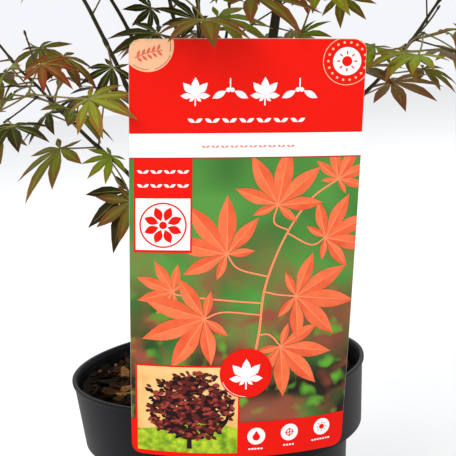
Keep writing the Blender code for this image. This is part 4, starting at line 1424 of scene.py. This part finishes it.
class Blades:
    """Leaf blades of seven lobes. The point at share s along a lobe of length l and side c across
    it is s l a + c w(s) l b, with a along the lobe and b across it; it is bent down by the droop
    times its distance squared over the leaf's length and folded up along the lobe's vein."""

    def __init__(self, places, sizes, settings, rng):
        count = len(places)
        self.places, self.size, self.settings = places, sizes[:, None, None], settings
        angles, reach = np.array(ALL_LOBES).T[:, None]
        self.angles = np.radians(angles) + rng.normal(0, 0.045, (count, 7))
        self.reach = reach * rng.normal(1, 0.035, (count, 7))
        gaps = np.diff(self.angles, axis=1) / 2
        wide = np.full((count, 1), 0.62)
        self.left = np.concatenate([gaps, wide], 1)
        self.right = np.concatenate([wide, gaps], 1)
        self.fold = rng.uniform(0.10, 0.42, (count, 1, 1))
        self.curl = rng.normal(0.0, 0.05, (count, 7, 1))

    def at(self, lobes, share, side, gap, tooth=0.0, lift=0.0):
        """Points of some lobes at these shares: (count, lobes, rows, 3), in the leaf's own plane."""
        share = np.array(share)[None, None]
        long = self.reach[:, lobes, None] * self.size
        width = lobe_width(share, gap[:, lobes, None], self.settings, np.array(tooth))
        forward, sideways = share * long, np.array(side) * width * long
        cos, sin = np.cos(self.angles[:, lobes, None]), np.sin(self.angles[:, lobes, None])
        x = forward * cos - sideways * sin
        y = forward * sin + sideways * cos
        z = self.fold * np.abs(sideways) - BLADE_DROOP * (x * x + y * y) / self.size
        return np.stack([x, y, z - self.curl[:, lobes] * share**3 * self.size + lift], -1)

    def placed(self, points):
        """Points of each leaf's own plane, (count, any, 3), in the model's frame."""
        turned_to = np.einsum("nij,npj->npi", self.places[:, :3, :3], points)
        return turned_to + self.places[:, None, :3, 3]

    def surface(self, zones, end_share, lift=0.0):
        """One mesh a leaf: point 0 at its foot, then each lobe's rows of three points and its end.
        A zone is lobes, shares, share of the width at each, teeth and the share at the lobe's end."""
        count = len(self.places)
        foot = np.zeros((count, 1, 3))
        foot[..., 2] = lift
        parts, faces, first = [foot], [], 1
        for lobes, shares, width, teeth, end in zones:
            lobes, width = list(lobes), np.array(width)
            sides = ((-width, self.right), (0 * width, self.right), (width, self.left))
            edges = [self.at(lobes, shares, side, gap, teeth, lift) for side, gap in sides]
            rows = np.stack(edges, 3).reshape(count, len(lobes), -1, 3)
            part = np.concatenate([rows, self.at(lobes, [end], 0, self.right, 0, lift)], 2)
            faces.append(lobe_faces(len(lobes), len(shares), first, end_share * len(shares)))
            first += part.shape[1] * part.shape[2]
            parts.append(part.reshape(count, -1, 3))
        return self.placed(np.concatenate(parts, 1)), faces

    def blades(self):
        """The blades, and the faces of one blade: those of its body and those of its lobes' ends."""
        zones = [(lobes, shares, np.ones(len(shares)), teeth, 1.0) for lobes, shares, teeth in MARGINS]
        points, faces = self.surface(zones, 0.55)
        return points, [f for body, _ in faces for f in body], [f for _, ends in faces for f in ends]

    def hearts(self):
        """The zones along the veins, a little off the blades, and the faces of one leaf's."""
        zones = [(lobes, shares, width, 0.0, end) for lobes, shares, width, end in HEARTS]
        points, faces = self.surface(zones, 2.0, HEART_LIFT)
        return points, [f for body, ends in faces for f in (*body, *ends)]

    def veins(self):
        """Each lobe's main vein as a path of three points: (count, 7, 3, 3)."""
        points = self.at(list(range(7)), (0.0, 0.42, 0.84), 0, self.right, 0.0, VEIN_LIFT)
        return self.placed(points.reshape(len(points), 21, 3)).reshape(-1, 7, 3, 3)


def lobe_faces(lobes, rows, first, body_rows):
    """Faces of some lobes of one leaf, each of `rows` rows of three points and an end point, from
    point `first` on: strips between the rows, a fan to point 0 and a fan to the end point. They
    come as two lists: those of the first `body_rows` rows and those beyond."""
    starts = first + np.arange(lobes)[:, None] * (rows * 3 + 1)
    bands = grid_faces(rows, 3)[:, ::-1].reshape(rows - 1, 2, 4)
    near = bands[: int(body_rows)].reshape(-1, 4)
    far = bands[int(body_rows) :].reshape(-1, 4)
    last, tip = starts + (rows - 1) * 3, starts + rows * 3
    foot = 0 * starts
    foot_fan = [np.concatenate([foot, starts + k, starts + k + 1], 1) for k in (0, 1)]
    end_fan = [np.concatenate([last + k, tip, last + k + 1], 1) for k in (0, 1)]
    body = [(starts[:, :, None] + near[None]).reshape(-1, 4), *foot_fan]
    ends = [(starts[:, :, None] + far[None]).reshape(-1, 4), *end_fan]
    return body, ends


class MAPLE_OT_leaves(bpy.types.Operator):
    """Makes the leaves, each tint as one piece, with their veins and stalks"""

    bl_idname = "maple.leaves"
    bl_label = "Leaves"

    def execute(self, context):
        settings = context.scene.maple_leaf
        grown = crown()
        every = [
            (node, place, size, grown["tints"][name, i])
            for name, leaves in grown["leaves"].items()
            for i, (node, place, size) in enumerate(leaves)
        ]
        nodes = np.array([node for node, *_ in every])
        places = np.array([[list(row) for row in place] for _, place, *_ in every])
        sizes = np.array([size for *_, size, _ in every])
        tints = np.array([tint for *_, tint in every])
        rng = np.random.default_rng(SEED)
        shapes = Blades(places, sizes, settings, rng)
        blades, body, ends = shapes.blades()
        hearts, heart_faces = shapes.hearts()
        nodes_replaced = ["foliage_" + name for name in grown["leaves"]]
        for tint in TINTS:
            base = getattr(settings, tint)
            for part, points, faces, shade in (
                ("leaves_", blades, body, (1, 1, 1)),
                ("leaf_ends_", blades, ends, settings.end_shade),
                ("leaf_hearts_", hearts, heart_faces, settings.heart_shade),
            ):
                chosen = points[tints == tint]
                copies = [repeated(f, len(chosen), points.shape[1]) for f in faces]
                colour_here = [min(c * f, 0.32) for c, f in zip(base, shade)]
                finish = plain(part.replace("_", " ") + tint, colour_here, 0.50, specular=0.06)
                taken = nodes_replaced if part + tint == "leaves_bronze" else ()
                mesh_piece(part + tint, chosen, copies, finish, "leaf", taken)
        veins = shapes.veins()
        thin = np.linspace(1, 0.35, 3)[None, None] * settings.vein_radius
        thick = thin * (sizes / LEAF_LENGTH)[:, None, None] * np.ones((1, 7, 1))
        points, sides = tube(veins, thick, 3)
        mesh_piece("leaf_veins", points, sides, plain("leaf vein", settings.vein, 0.5), "leaf")
        self.stalks(context.scene.maple_wood, nodes, places, rng)
        return {"FINISHED"}

    @staticmethod
    def stalks(settings, nodes, places, rng):
        """Stalks from twig to blade: a straight line plus a sideways bow of 4 t (1 - t)."""
        feet = places[:, :3, 3]
        t = np.linspace(0, 1, 7)[None, :, None]
        bow = 4 * t * (1 - t) * rng.normal(0, 0.0009, (len(feet), 1, 3))
        paths = nodes[:, None] * (1 - t) + feet[:, None] * t + bow
        radii = PETIOLE_RADIUS * (0.95 + 0.55 * np.exp(-t[..., 0] / 0.08) + 0.25 * t[..., 0] ** 6)
        points, sides = tube(paths, np.repeat(radii, len(feet), 0), 6)
        mesh_piece("leaf_stalks", points, sides, plain("leaf stalk", settings.stalk, 0.45), "leaf")


# ---------------------------------------------------------------- label card


def kept_on_card(across, down, inset=0.00012):
    """Moves print that would hang over the card's outline back to it: first onto the rectangle,
    then, at a corner, onto its arc."""
    half, radius = CARD_WIDTH / 2 - inset, CARD_CORNER - inset
    across = np.clip(across, -half, half)
    down = np.clip(down, inset, CARD_LENGTH - inset)
    x = np.abs(across) - (half - radius)
    middle = CARD_LENGTH / 2
    y = np.abs(down - middle) - (middle - inset - radius)
    far = np.hypot(np.maximum(x, 0), np.maximum(y, 0))
    back = np.where((x > 0) & (y > 0) & (far > radius), radius / np.maximum(far, 1e-9), 1.0)
    across = np.where(x > 0, np.sign(across) * (half - radius + x * back), across)
    down = np.where(y > 0, middle + np.sign(down - middle) * (middle - inset - radius + y * back), down)
    return across, down


def rectangle(left, top, right, bottom, step=0.0035):
    """A grid over a rectangle of the card: columns across, rows down."""
    across = np.linspace(left, right, max(2, int((right - left) / step) + 1))
    down = np.linspace(top, bottom, max(2, int((bottom - top) / step) + 1))
    return np.meshgrid(across, down)


def ring(x, y, inner, outer, spokes=48, rings=3, start=0.0, turn=math.tau):
    """A grid over a ring or a stretch of one: the radius from row to row, the angle along a row."""
    r = np.linspace(inner, outer, rings + 1)[:, None]
    a = np.linspace(start, start + turn, spokes + 1)[None]
    return x + r * np.cos(a), y - r * np.sin(a)


def bar(x0, y0, x1, y1, width, taper=1.0):
    """A grid over a straight bar from one point to another, `taper` as wide at its end."""
    t = np.linspace(0, 1, 9)[:, None]
    c = np.array([[-0.5, 0.5]])
    size = math.hypot(x1 - x0, y1 - y0)
    across, down = (y1 - y0) / size, -(x1 - x0) / size
    w = width * (1 + (taper - 1) * t)
    return x0 + (x1 - x0) * t + c * w * across, y0 + (y1 - y0) * t + c * w * down


def stroke(points, width, taper=1.0):
    """A grid over a curved line through these points of the card."""
    path = smooth_path([(x, y, 0) for x, y in points], 0.0016)[:, :2]
    way = unit(np.gradient(path, axis=0))
    w = width * np.linspace(1, taper, len(path))[:, None] * np.array([[-0.5, 0.5]])
    return path[:, :1] + w * way[:, 1:], path[:, 1:] - w * way[:, :1]


def petal(x, y, angle, size, wide, low, high, gap=0.33, teeth=0.0, rows=27):
    """A grid over part of one lobe, from `low` to `high` across it (-1 to 1), drawn as the leaves'
    lobes are, and never past the line halfway to the next lobe."""
    s = np.linspace(0, 1, rows)[:, None]
    c = np.linspace(low, high, 3)[None]
    saw = np.where(np.arange(rows) % 2, 1.0, -1.0)[:, None] * (s > 0.3)
    width = wide * lobe_outline(s) * (1 + teeth * saw)
    width = np.minimum(width, s * math.tan(gap)) * size
    forward = s * size
    return (
        x + forward * math.cos(angle) - c * width * math.sin(angle),
        y - forward * math.sin(angle) - c * width * math.cos(angle),
    )


def card_print(name, grids, layer, finish):
    """A piece of print: each grid of card places laid `layer` ink steps off the card's face, or on
    the layer given with it, facing out."""
    step = bpy.context.scene.maple_label.ink_step
    parts, uv = [], []
    for grid in grids:
        own = grid[2] if len(grid) > 2 else layer
        across, down = kept_on_card(grid[0], grid[1])
        out = CARD_THICKNESS / 2 + own * step
        points = card_point(across, down, np.full(across.shape, out))
        faces = grid_faces(*across.shape)
        a, b, c = (points[i, j] for i, j in ((0, 0), (0, -1), (-1, 0)))
        facing = np.cross(points[1:, :-1] - points[:-1, :-1], points[:-1, 1:] - points[:-1, :-1])
        outward = card_point(0.0, 0.1, 0.01) - card_point(0.0, 0.1, 0.0)
        if (facing.reshape(-1, 3).sum(0) @ outward) > 0:
            faces = faces[:, ::-1]
        parts.append((points.reshape(-1, 3), [faces]))
        uv.append(np.stack([across, down], -1).reshape(-1, 2))
    points, faces = gathered(parts)
    return mesh_piece(name, points, faces, finish, "label_print", smooth=False, uv=np.concatenate(uv))


# Layers of print: 1 and 2 are the grounds, 3 to 9 the spray and the signs on the red ground, and
# 10 to 18 the panels, the inset and the roundel over them.

# Printed leaves: middle across and down, the way the middle lobe points (degrees), size, layer.
PRINTED_LEAVES = (
    (0.018, 0.092, 80, 0.034, 9),
    (0.046, 0.112, 25, 0.030, 7),
    (-0.010, 0.120, 128, 0.036, 5),
    (0.030, 0.146, -8, 0.036, 6),
    (-0.022, 0.158, 200, 0.038, 8),
    (0.022, 0.176, -48, 0.033, 4),
    (-0.040, 0.142, 158, 0.022, 3),
)
END_LEAF = (0.052, 0.078, 62, 0.022, 3)
PRINTED_STEM = (
    *((0.004, 0.196), (0.009, 0.168), (0.012, 0.140), (0.022, 0.112), (0.036, 0.090)),
    END_LEAF[:2],
)
PRINTED_LOBES = ((-122, 0.45), (-78, 0.76), (-38, 0.95), (0, 1), (38, 0.95), (78, 0.76), (122, 0.45))
SIGN_LOBES = ((-132, 0.42), (-88, 0.78), (-42, 0.96), (0, 1), (42, 0.96), (88, 0.78), (132, 0.42))

# Distances down the card: the white band, and the picture under it.
BAND_TOP, BAND_FOOT, PICTURE_TOP, PICTURE_FOOT = 0.0513, 0.0646, 0.0652, 0.2220
GROUND_STEP = 0.0030
INSET = (-0.0604, 0.1876, -0.0022, 0.2412)
INSET_HORIZON = 0.2240

# The inset's tree: its middle, its dark discs from there, how many dabs of leaf it has, and how
# often and how many layers up each tint of them comes.
TREE_MIDDLE = (-0.0299, 0.2125)
TREE_DISCS = ((-0.0115, 0.004, 0.0115), (0.0115, 0.004, 0.0115), (0, -0.005, 0.0145), (0, 0.009, 0.0115))
TREE_DABS = 720
TREE_TINTS = {"dark": (5, 0.0), "red": (3.4, 0.8), "bright": (1.2, 1.4)}

# Middles of the card's round shapes, across and down.
PEACH_DISC = (-0.0540, 0.0039)
EMBLEM = (0.0539, 0.0121)
PANEL_RING = (-0.0456, 0.1031)
ROUNDEL = (0.0022, 0.1914)
CARE_DISCS = ((0.0090, 0.2310), (0.0290, 0.2302), (0.0496, 0.2296))


class MAPLE_OT_label(bpy.types.Operator):
    """Makes the label card and its print"""

    bl_idname = "maple.label"
    bl_label = "Label card"

    def execute(self, context):
        settings = context.scene.maple_label
        paper = plain("card edge", settings.paper, 0.45)
        points, faces = card_sheet(CARD_THICKNESS, 60, card_rows(96))
        mesh_piece("card", points, faces, paper, "label_print", ("label_card",))
        self.grounds(settings)
        self.leaves(settings)
        self.badges(settings)
        self.inset(settings)
        self.tree(settings)
        return {"FINISHED"}

    @staticmethod
    def grounds(settings):
        """The red ground, the green picture, and the white band and red foot that end it."""
        half = CARD_WIDTH / 2
        red = ink("red ink", settings.red)
        card_print("print_red", [rectangle(-half, 0.0, half, CARD_LENGTH, GROUND_STEP)], 1, red)
        picture = rectangle(-half, PICTURE_TOP, half, PICTURE_FOOT, GROUND_STEP)
        card_print("print_picture", [picture], 2, picture_finish("printed garden", settings))
        foot = rectangle(-half, PICTURE_FOOT, half, CARD_LENGTH, GROUND_STEP)
        card_print("print_foot", [foot], 10, ink("foot red ink", settings.red))
        band = rectangle(-half, BAND_TOP, half, BAND_FOOT)
        card_print("print_band", [band], 10, ink("white ink", settings.white))
        rule = rectangle(-half, BAND_FOOT, half, PICTURE_TOP)
        card_print("print_rule", [rule], 10, ink("deep red ink", settings.deep_red))
        row = winged_row(-0.0225, 0.0585, 10, 0.0052, 0.0026, 11)
        card_print("print_band_row", row, 11, ink("blush ink", settings.blush))

    @staticmethod
    def leaves(settings):
        """A spray of coral leaves: each lobe has a bright and a dull half and a pale vein."""
        bright, dull, veins = [], [], []
        stem = smooth_path([(x, y, 0) for x, y in PRINTED_STEM], 0.0016)[:, :2]
        for x, y, pointing, size, layer in (*PRINTED_LEAVES, END_LEAF):
            for angle, share in PRINTED_LOBES:
                a = math.radians(pointing + angle)
                reach = size * share
                gap = 0.33 if abs(angle) < 122 else 0.45
                bright.append((*petal(x, y, a, reach, 0.150, 0, 1, gap, 0.02), layer))
                dull.append((*petal(x, y, a, reach, 0.150, -1, 0, gap, 0.02), layer))
                tip = (x + 0.86 * reach * math.cos(a), y - 0.86 * reach * math.sin(a))
                veins.append((*bar(x, y, *tip, 0.0006, 0.3), layer + 0.4))
        for x, y, pointing, size, layer in PRINTED_LEAVES:
            back = math.radians(pointing + 180)
            bend = np.array([x + 0.3 * size * math.cos(back), y - 0.3 * size * math.sin(back)])
            near = stem[np.argmin(np.linalg.norm(stem - bend, axis=1))]
            veins.append((*stroke([(x, y), bend, near], 0.0009), layer + 0.2))
        veins.append((*stroke(PRINTED_STEM, 0.0015, 0.6), 3))
        pale = [min(1, 1.2 * c + 0.03) for c in settings.coral]
        blotches = dict(roughness=0.35, scale=110, amount=0.55, specular=0.06)
        coral = mottled("coral ink", settings.coral, settings.coral_deep, **blotches)
        deep = mottled("deep coral ink", settings.coral_deep, settings.coral, **blotches)
        card_print("print_leaf_bright", bright, 0, coral)
        card_print("print_leaf_dull", dull, 0, deep)
        card_print("print_leaf_veins", veins, 0, ink("pale coral ink", pale))

    @staticmethod
    def badges(settings):
        """The peach disc with a sprig, the emblem with a sun, the panel with a flower in a ring, the
        roundel with a leaf, and three small care signs with a row of dashes under each."""
        x, y = PEACH_DISC
        card_print("print_peach_disc", [ring(x, y, 0, 0.0138)], 3, ink("peach ink", settings.peach))
        bent = [(x - 0.0072, y + 0.0062), (x, y + 0.0034), (x + 0.0078, y + 0.0022)]
        sprig = [(*stroke(bent, 0.0006), 4)]
        for k in range(5):
            at = (x - 0.0060 + 0.0027 * k, y + 0.0057 - 0.0008 * k)
            for side in (1, -1):
                sprig.append((*petal(*at, 0.2 + side * 0.95, 0.0040, 0.19, -1, 1, 1.0), 4))
        card_print("print_sprig", sprig, 4, ink("faded red ink", settings.faded))

        fine = [
            (*ring(x, y, 0.0127, 0.0130, 20, 1, -1.30, 0.9), 4),
            (*ring(x, y, 0.0119, 0.0122, 20, 1, -0.25, 0.5), 4),
            (*ring(x, y, 0.0124, 0.0127, 20, 1, -2.25, 0.7), 4),
            (*ring(*ROUNDEL, 0.0139, 0.0142, 24, 1, -0.25, 0.9), 18),
        ]
        card_print("print_fine_lines", fine, 11, ink("fine line ink", settings.deep_red))

        reds = [
            (*rectangle(-0.0617, PICTURE_TOP, -0.0297, 0.1190), 10),
            (*ring(*ROUNDEL, 0, 0.0152, 60), 17),
            (*rectangle(-0.0614, 0.1866, -0.0012, PICTURE_FOOT), 10),
            (*ring(*PANEL_RING, 0.0122, 0.0131, 60, 1), 12),
            (*ring(*PANEL_RING, 0, 0.0022, 24), 12),
        ]
        for k in range(8):
            turn = math.tau * (k + 0.5) / 8
            at = (PANEL_RING[0] + 0.0026 * math.cos(turn), PANEL_RING[1] - 0.0026 * math.sin(turn))
            reds.append((*petal(*at, turn, 0.0086, 0.27, -1, 1, 1.0), 12))
        reds += sun(*EMBLEM, 0.0056, 4)
        reds += drop(*CARE_DISCS[0], 0.0036, 12)
        x, y = CARE_DISCS[1]
        reds += [
            (*bar(x - 0.0028, y, x + 0.0028, y, 0.0006), 12),
            (*bar(x, y - 0.0028, x, y + 0.0028, 0.0006), 12),
            (*ring(x, y, 0.0017, 0.0023, 30, 1), 12),
        ]
        reds += sun(*CARE_DISCS[2], 0.0033, 12)
        card_print("print_red_shapes", reds, 0, ink("badge red ink", settings.red))

        whites = [
            (*rectangle(-0.0607, 0.0877, -0.0306, 0.1175), 11),
            (*ring(*EMBLEM, 0, 0.0077, 40), 3),
            (*ring(*ROUNDEL, 0.0141, 0.0144, 24, 1, 3.5, 1.2), 18),
        ]
        for (x, y), dashes in zip(CARE_DISCS, (5, 4, 7)):
            whites.append((*ring(x, y, 0, 0.0053, 32), 11))
            for k in range(dashes):
                left = x + (k - dashes / 2) * 0.0018
                whites.append((*bar(left, y + 0.0080, left + 0.0012, y + 0.0080, 0.0010), 11))
        for y in (0.0724, 0.0803):
            whites += winged_row(-0.05665, y, 4, 0.0073, 0.0037, 11)
        whites += leaf_sign(ROUNDEL[0], ROUNDEL[1] + 0.0035, 0.0125, 18)
        whites += header_row(3)
        card_print("print_white_shapes", whites, 0, ink("badge white ink", settings.white))

        x, y = EMBLEM
        halo = [ring(x, y, 0.0128, 0.0132, 60, 1)]
        for k in range(18):
            turn = math.tau * k / 18
            halo.append(ring(x + 0.0103 * math.cos(turn), y - 0.0103 * math.sin(turn), 0, 0.0007, 10, 1))
        card_print("print_emblem_ring", halo, 3, ink("pale red ink", settings.peach))

    @staticmethod
    def inset(settings):
        """A small picture's ground: a lawn with a waved edge before pale sand."""
        left, _, right, bottom = INSET
        look = dict(roughness=0.4, amount=1.0, specular=0.06)
        sand = mottled("inset sand", settings.sand, settings.sand_pale, scale=90, **look)
        lawn = mottled("inset lawn", settings.lawn, settings.lawn_pale, scale=260, **look)
        card_print("print_inset_sand", [rectangle(*INSET)], 11, sand)
        across, down = rectangle(left, INSET_HORIZON, right, bottom)
        wave = 0.0036 * np.cos((across - left) / (right - left) * 5.2)
        down = np.where(down < INSET_HORIZON + 0.0002, down + wave, down)
        card_print("print_inset_lawn", [(across, down)], 12, lawn)

    @staticmethod
    def tree(settings):
        """The inset's tree: a stem and dark discs, and over them dabs of leaf in three tints,
        thrown over a crown whose edge bulges five times."""
        rng = random.Random(SEED)
        middle, height = TREE_MIDDLE
        backing = [(*bar(middle, 0.2385, middle, 0.2300, 0.0030, 0.8), 12.4)]
        for x, y, radius in TREE_DISCS:
            backing.append((*ring(middle + x, height + y, 0, radius, 24, 1), 12.5))
        grids = {"dark": backing, "red": [], "bright": []}
        for _ in range(TREE_DABS):
            turn, away = rng.uniform(0, math.tau), math.sqrt(rng.random())
            away *= 1 + 0.07 * math.cos(5 * turn)
            x = middle + away * 0.0245 * math.cos(turn)
            y = height - away * (0.0215 if math.sin(turn) > 0 else 0.0195) * math.sin(turn)
            tint = rng.choices(list(TREE_TINTS), [often for often, _ in TREE_TINTS.values()])[0]
            angle = rng.choice((0, math.pi)) + rng.uniform(-0.75, 0.75)
            size = rng.uniform(0.0026, 0.0044)
            layer = 13 + rng.uniform(0, 1.2) + TREE_TINTS[tint][1]
            grids[tint].append((*petal(x, y, angle, size, 0.26, -1, 1, 0.9, rows=7), layer))
        for tint, dabs in grids.items():
            finish = ink("inset " + tint, getattr(settings, "tree_" + tint))
            card_print("print_inset_tree_" + tint, dabs, 0, finish)


def ink(name, base):
    """A printed colour under the card's satin film."""
    return plain(name, base, 0.35, specular=0.06)


def drop(x, y, size, layer):
    """A water drop: a disc with a pointed top."""
    point = (*bar(x, y - 0.1 * size, x, y - 0.95 * size, 1.10 * size, 0.02), layer)
    return [(*ring(x, y + 0.15 * size, 0, 0.62 * size, 28), layer), point]


def sun(x, y, size, layer):
    """A sun: a disc with eight short rays, from 0.66 to 1 of its size."""
    grids = [(*ring(x, y, 0, 0.5 * size, 28), layer)]
    for k in range(8):
        way = np.array([math.cos(math.tau * k / 8), math.sin(math.tau * k / 8)])
        start, end = (x, y) + 0.66 * size * way, (x, y) + size * way
        grids.append((*bar(*start, *end, 0.14 * size), layer))
    return grids


def leaf_sign(x, y, size, layer):
    """A broad leaf of seven joined lobes with a short stalk below."""
    grids = [(*bar(x, y, x, y + 0.5 * size, 0.07 * size), layer)]
    for angle, share in SIGN_LOBES:
        turn = math.radians(90 + angle)
        grids.append((*petal(x, y, turn, size * share, 0.21, -1, 1, 0.365, 0.06), layer))
    return grids


def winged_seeds(x, y, size, layer):
    """Two seeds side by side under a stalk, each with its wing."""
    grids = [(*bar(x, y, x, y - 0.55 * size, 0.07 * size), layer)]
    for side in (1, -1):
        turn = math.radians(90 - side * 118)
        nut, wing = 0.12 * size, 0.22 * size
        ahead, aside = math.cos(turn), -math.sin(turn)
        grids.append((*ring(x + nut * ahead, y + nut * aside, 0, nut, 16, 1), layer + 0.3))
        wing_foot = (x + wing * ahead, y + wing * aside)
        grids.append((*petal(*wing_foot, turn, size * 0.85, 0.20, -1, 1, 1.0), layer))
    return grids


def winged_row(first, y, count, pitch, size, layer):
    """A row of small leaf pairs, each pair spread to both sides."""
    grids = []
    for k in range(count):
        for side in (1, -1):
            turn = math.radians(90 - side * 62)
            leaf = petal(first + pitch * k, y + 0.3 * size, turn, size, 0.22, -1, 1, 1.0, rows=9)
            grids.append((*leaf, layer))
    return grids


def header_row(layer):
    """White leaves and winged seeds by turns in the header, with a row of leaf pairs under them."""
    grids = []
    for k, x in enumerate((-0.0285, -0.0095, 0.0095, 0.0285)):
        shape, y = ((leaf_sign, 0.0310), (winged_seeds, 0.0270))[k % 2]
        grids += shape(x, y, 0.0104, layer)
    return grids + winged_row(-0.0285, 0.0440, 7, 0.0094, 0.0046, layer)


# ---------------------------------------------------------------- stage

FLOOR_REACH = 3.6
FLOOR_POINTS = 41
# Name, place, size, power and colour.
LAMPS = (
    ("key", (-0.7, -1.5, 1.6), 1.0, 22.0, (1.0, 0.98, 0.95)),
    ("back", (0.5, 1.5, 1.9), 1.4, 16.0, (1.0, 1.0, 0.97)),
)


class MAPLE_OT_stage(bpy.types.Operator):
    """Sets up the pale floor, the soft lights and the camera"""

    bl_idname = "maple.stage"
    bl_label = "Stage"

    def execute(self, context):
        settings = context.scene.maple_stage
        side = np.linspace(-FLOOR_REACH, FLOOR_REACH, FLOOR_POINTS)
        x, y = np.meshgrid(side, side)
        points = np.stack([x, y, 0 * x], -1).reshape(-1, 3)
        mesh = bpy.data.meshes.new("floor")
        mesh.from_pydata(points.tolist(), [], grid_faces(FLOOR_POINTS, FLOOR_POINTS).tolist())
        mesh.shade_smooth()
        mesh.materials.append(plain("floor", (0.86, 0.86, 0.86), 0.8))
        linked("floor", mesh)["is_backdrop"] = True
        world = bpy.data.worlds.new("studio")
        world.use_nodes = True
        filled(world.node_tree.nodes["Background"], {"Color": (0.96, 0.97, 1.0, 1), "Strength": 0.95})
        context.scene.world = world
        target = Vector((0.0, 0.0, 0.28))
        for name, place, size, power, tint in LAMPS:
            lamp = bpy.data.lights.new(name, "AREA")
            lamp.size, lamp.energy, lamp.color = size, power, tint
            linked(name, lamp).matrix_world = looking(Vector(place), target)
        self.camera(context, settings)
        context.scene.view_settings.view_transform = "Standard"
        return {"FINISHED"}

    @staticmethod
    def camera(context, settings):
        """The camera: its axes are right, upright and backward, square to each other."""
        lens = bpy.data.cameras.new("camera")
        lens.lens, lens.sensor_width = settings.lens, 36.0
        lens.clip_start = 0.01
        forward = Vector(settings.forward).normalized()
        right = forward.cross(Vector(settings.upright)).normalized()
        axes = Matrix((right, right.cross(forward), -forward)).transposed()
        holder = linked("camera", lens)
        holder.matrix_world = Matrix.Translation(settings.eye) @ axes.to_4x4()
        context.scene.camera = holder


def looking(place, target):
    """The place and turn of a lamp that looks at a target along its -Z."""
    return Matrix.Translation(place) @ (target - place).to_track_quat("-Z", "Y").to_matrix().to_4x4()


# ---------------------------------------------------------------- add-on


class MAPLE_PT_panel(bpy.types.Panel):
    """Lists the pieces of the potted maple"""

    bl_label = "Potted maple"
    bl_idname = "MAPLE_PT_panel"
    bl_space_type = "VIEW_3D"
    bl_region_type = "UI"
    bl_category = "Maple"

    def draw(self, context):
        for operator in OPERATORS:
            self.layout.operator(operator.bl_idname)


SETTINGS = {
    "maple_pot": PotSettings,
    "maple_soil": SoilSettings,
    "maple_wood": WoodSettings,
    "maple_leaf": LeafSettings,
    "maple_label": LabelSettings,
    "maple_stage": StageSettings,
}
OPERATORS = (
    MAPLE_OT_pot,
    MAPLE_OT_soil,
    MAPLE_OT_mulch,
    MAPLE_OT_trunk,
    MAPLE_OT_limbs,
    MAPLE_OT_leaves,
    MAPLE_OT_label,
    MAPLE_OT_stage,
)


def register():
    for group in SETTINGS.values():
        bpy.utils.register_class(group)
    for operator in OPERATORS:
        bpy.utils.register_class(operator)
    bpy.utils.register_class(MAPLE_PT_panel)
    for name, group in SETTINGS.items():
        setattr(bpy.types.Scene, name, PointerProperty(type=group))


def unregister():
    for name in SETTINGS:
        delattr(bpy.types.Scene, name)
    bpy.utils.unregister_class(MAPLE_PT_panel)
    for kind in (*OPERATORS, *SETTINGS.values()):
        bpy.utils.unregister_class(kind)


def main():
    register()
    for old in list(bpy.data.objects):
        if old.type in {"CAMERA", "LIGHT"}:
            bpy.data.objects.remove(old)
    for operator in OPERATORS:
        category, name = operator.bl_idname.split(".")
        getattr(getattr(bpy.ops, category), name)()
    boxes = {"cad": CAD_BOUNDS, "visual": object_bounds()}
    plain_boxes = {k: [[float(c) for c in corner] for corner in box] for k, box in boxes.items()}


if __name__ == "__main__":
    main()
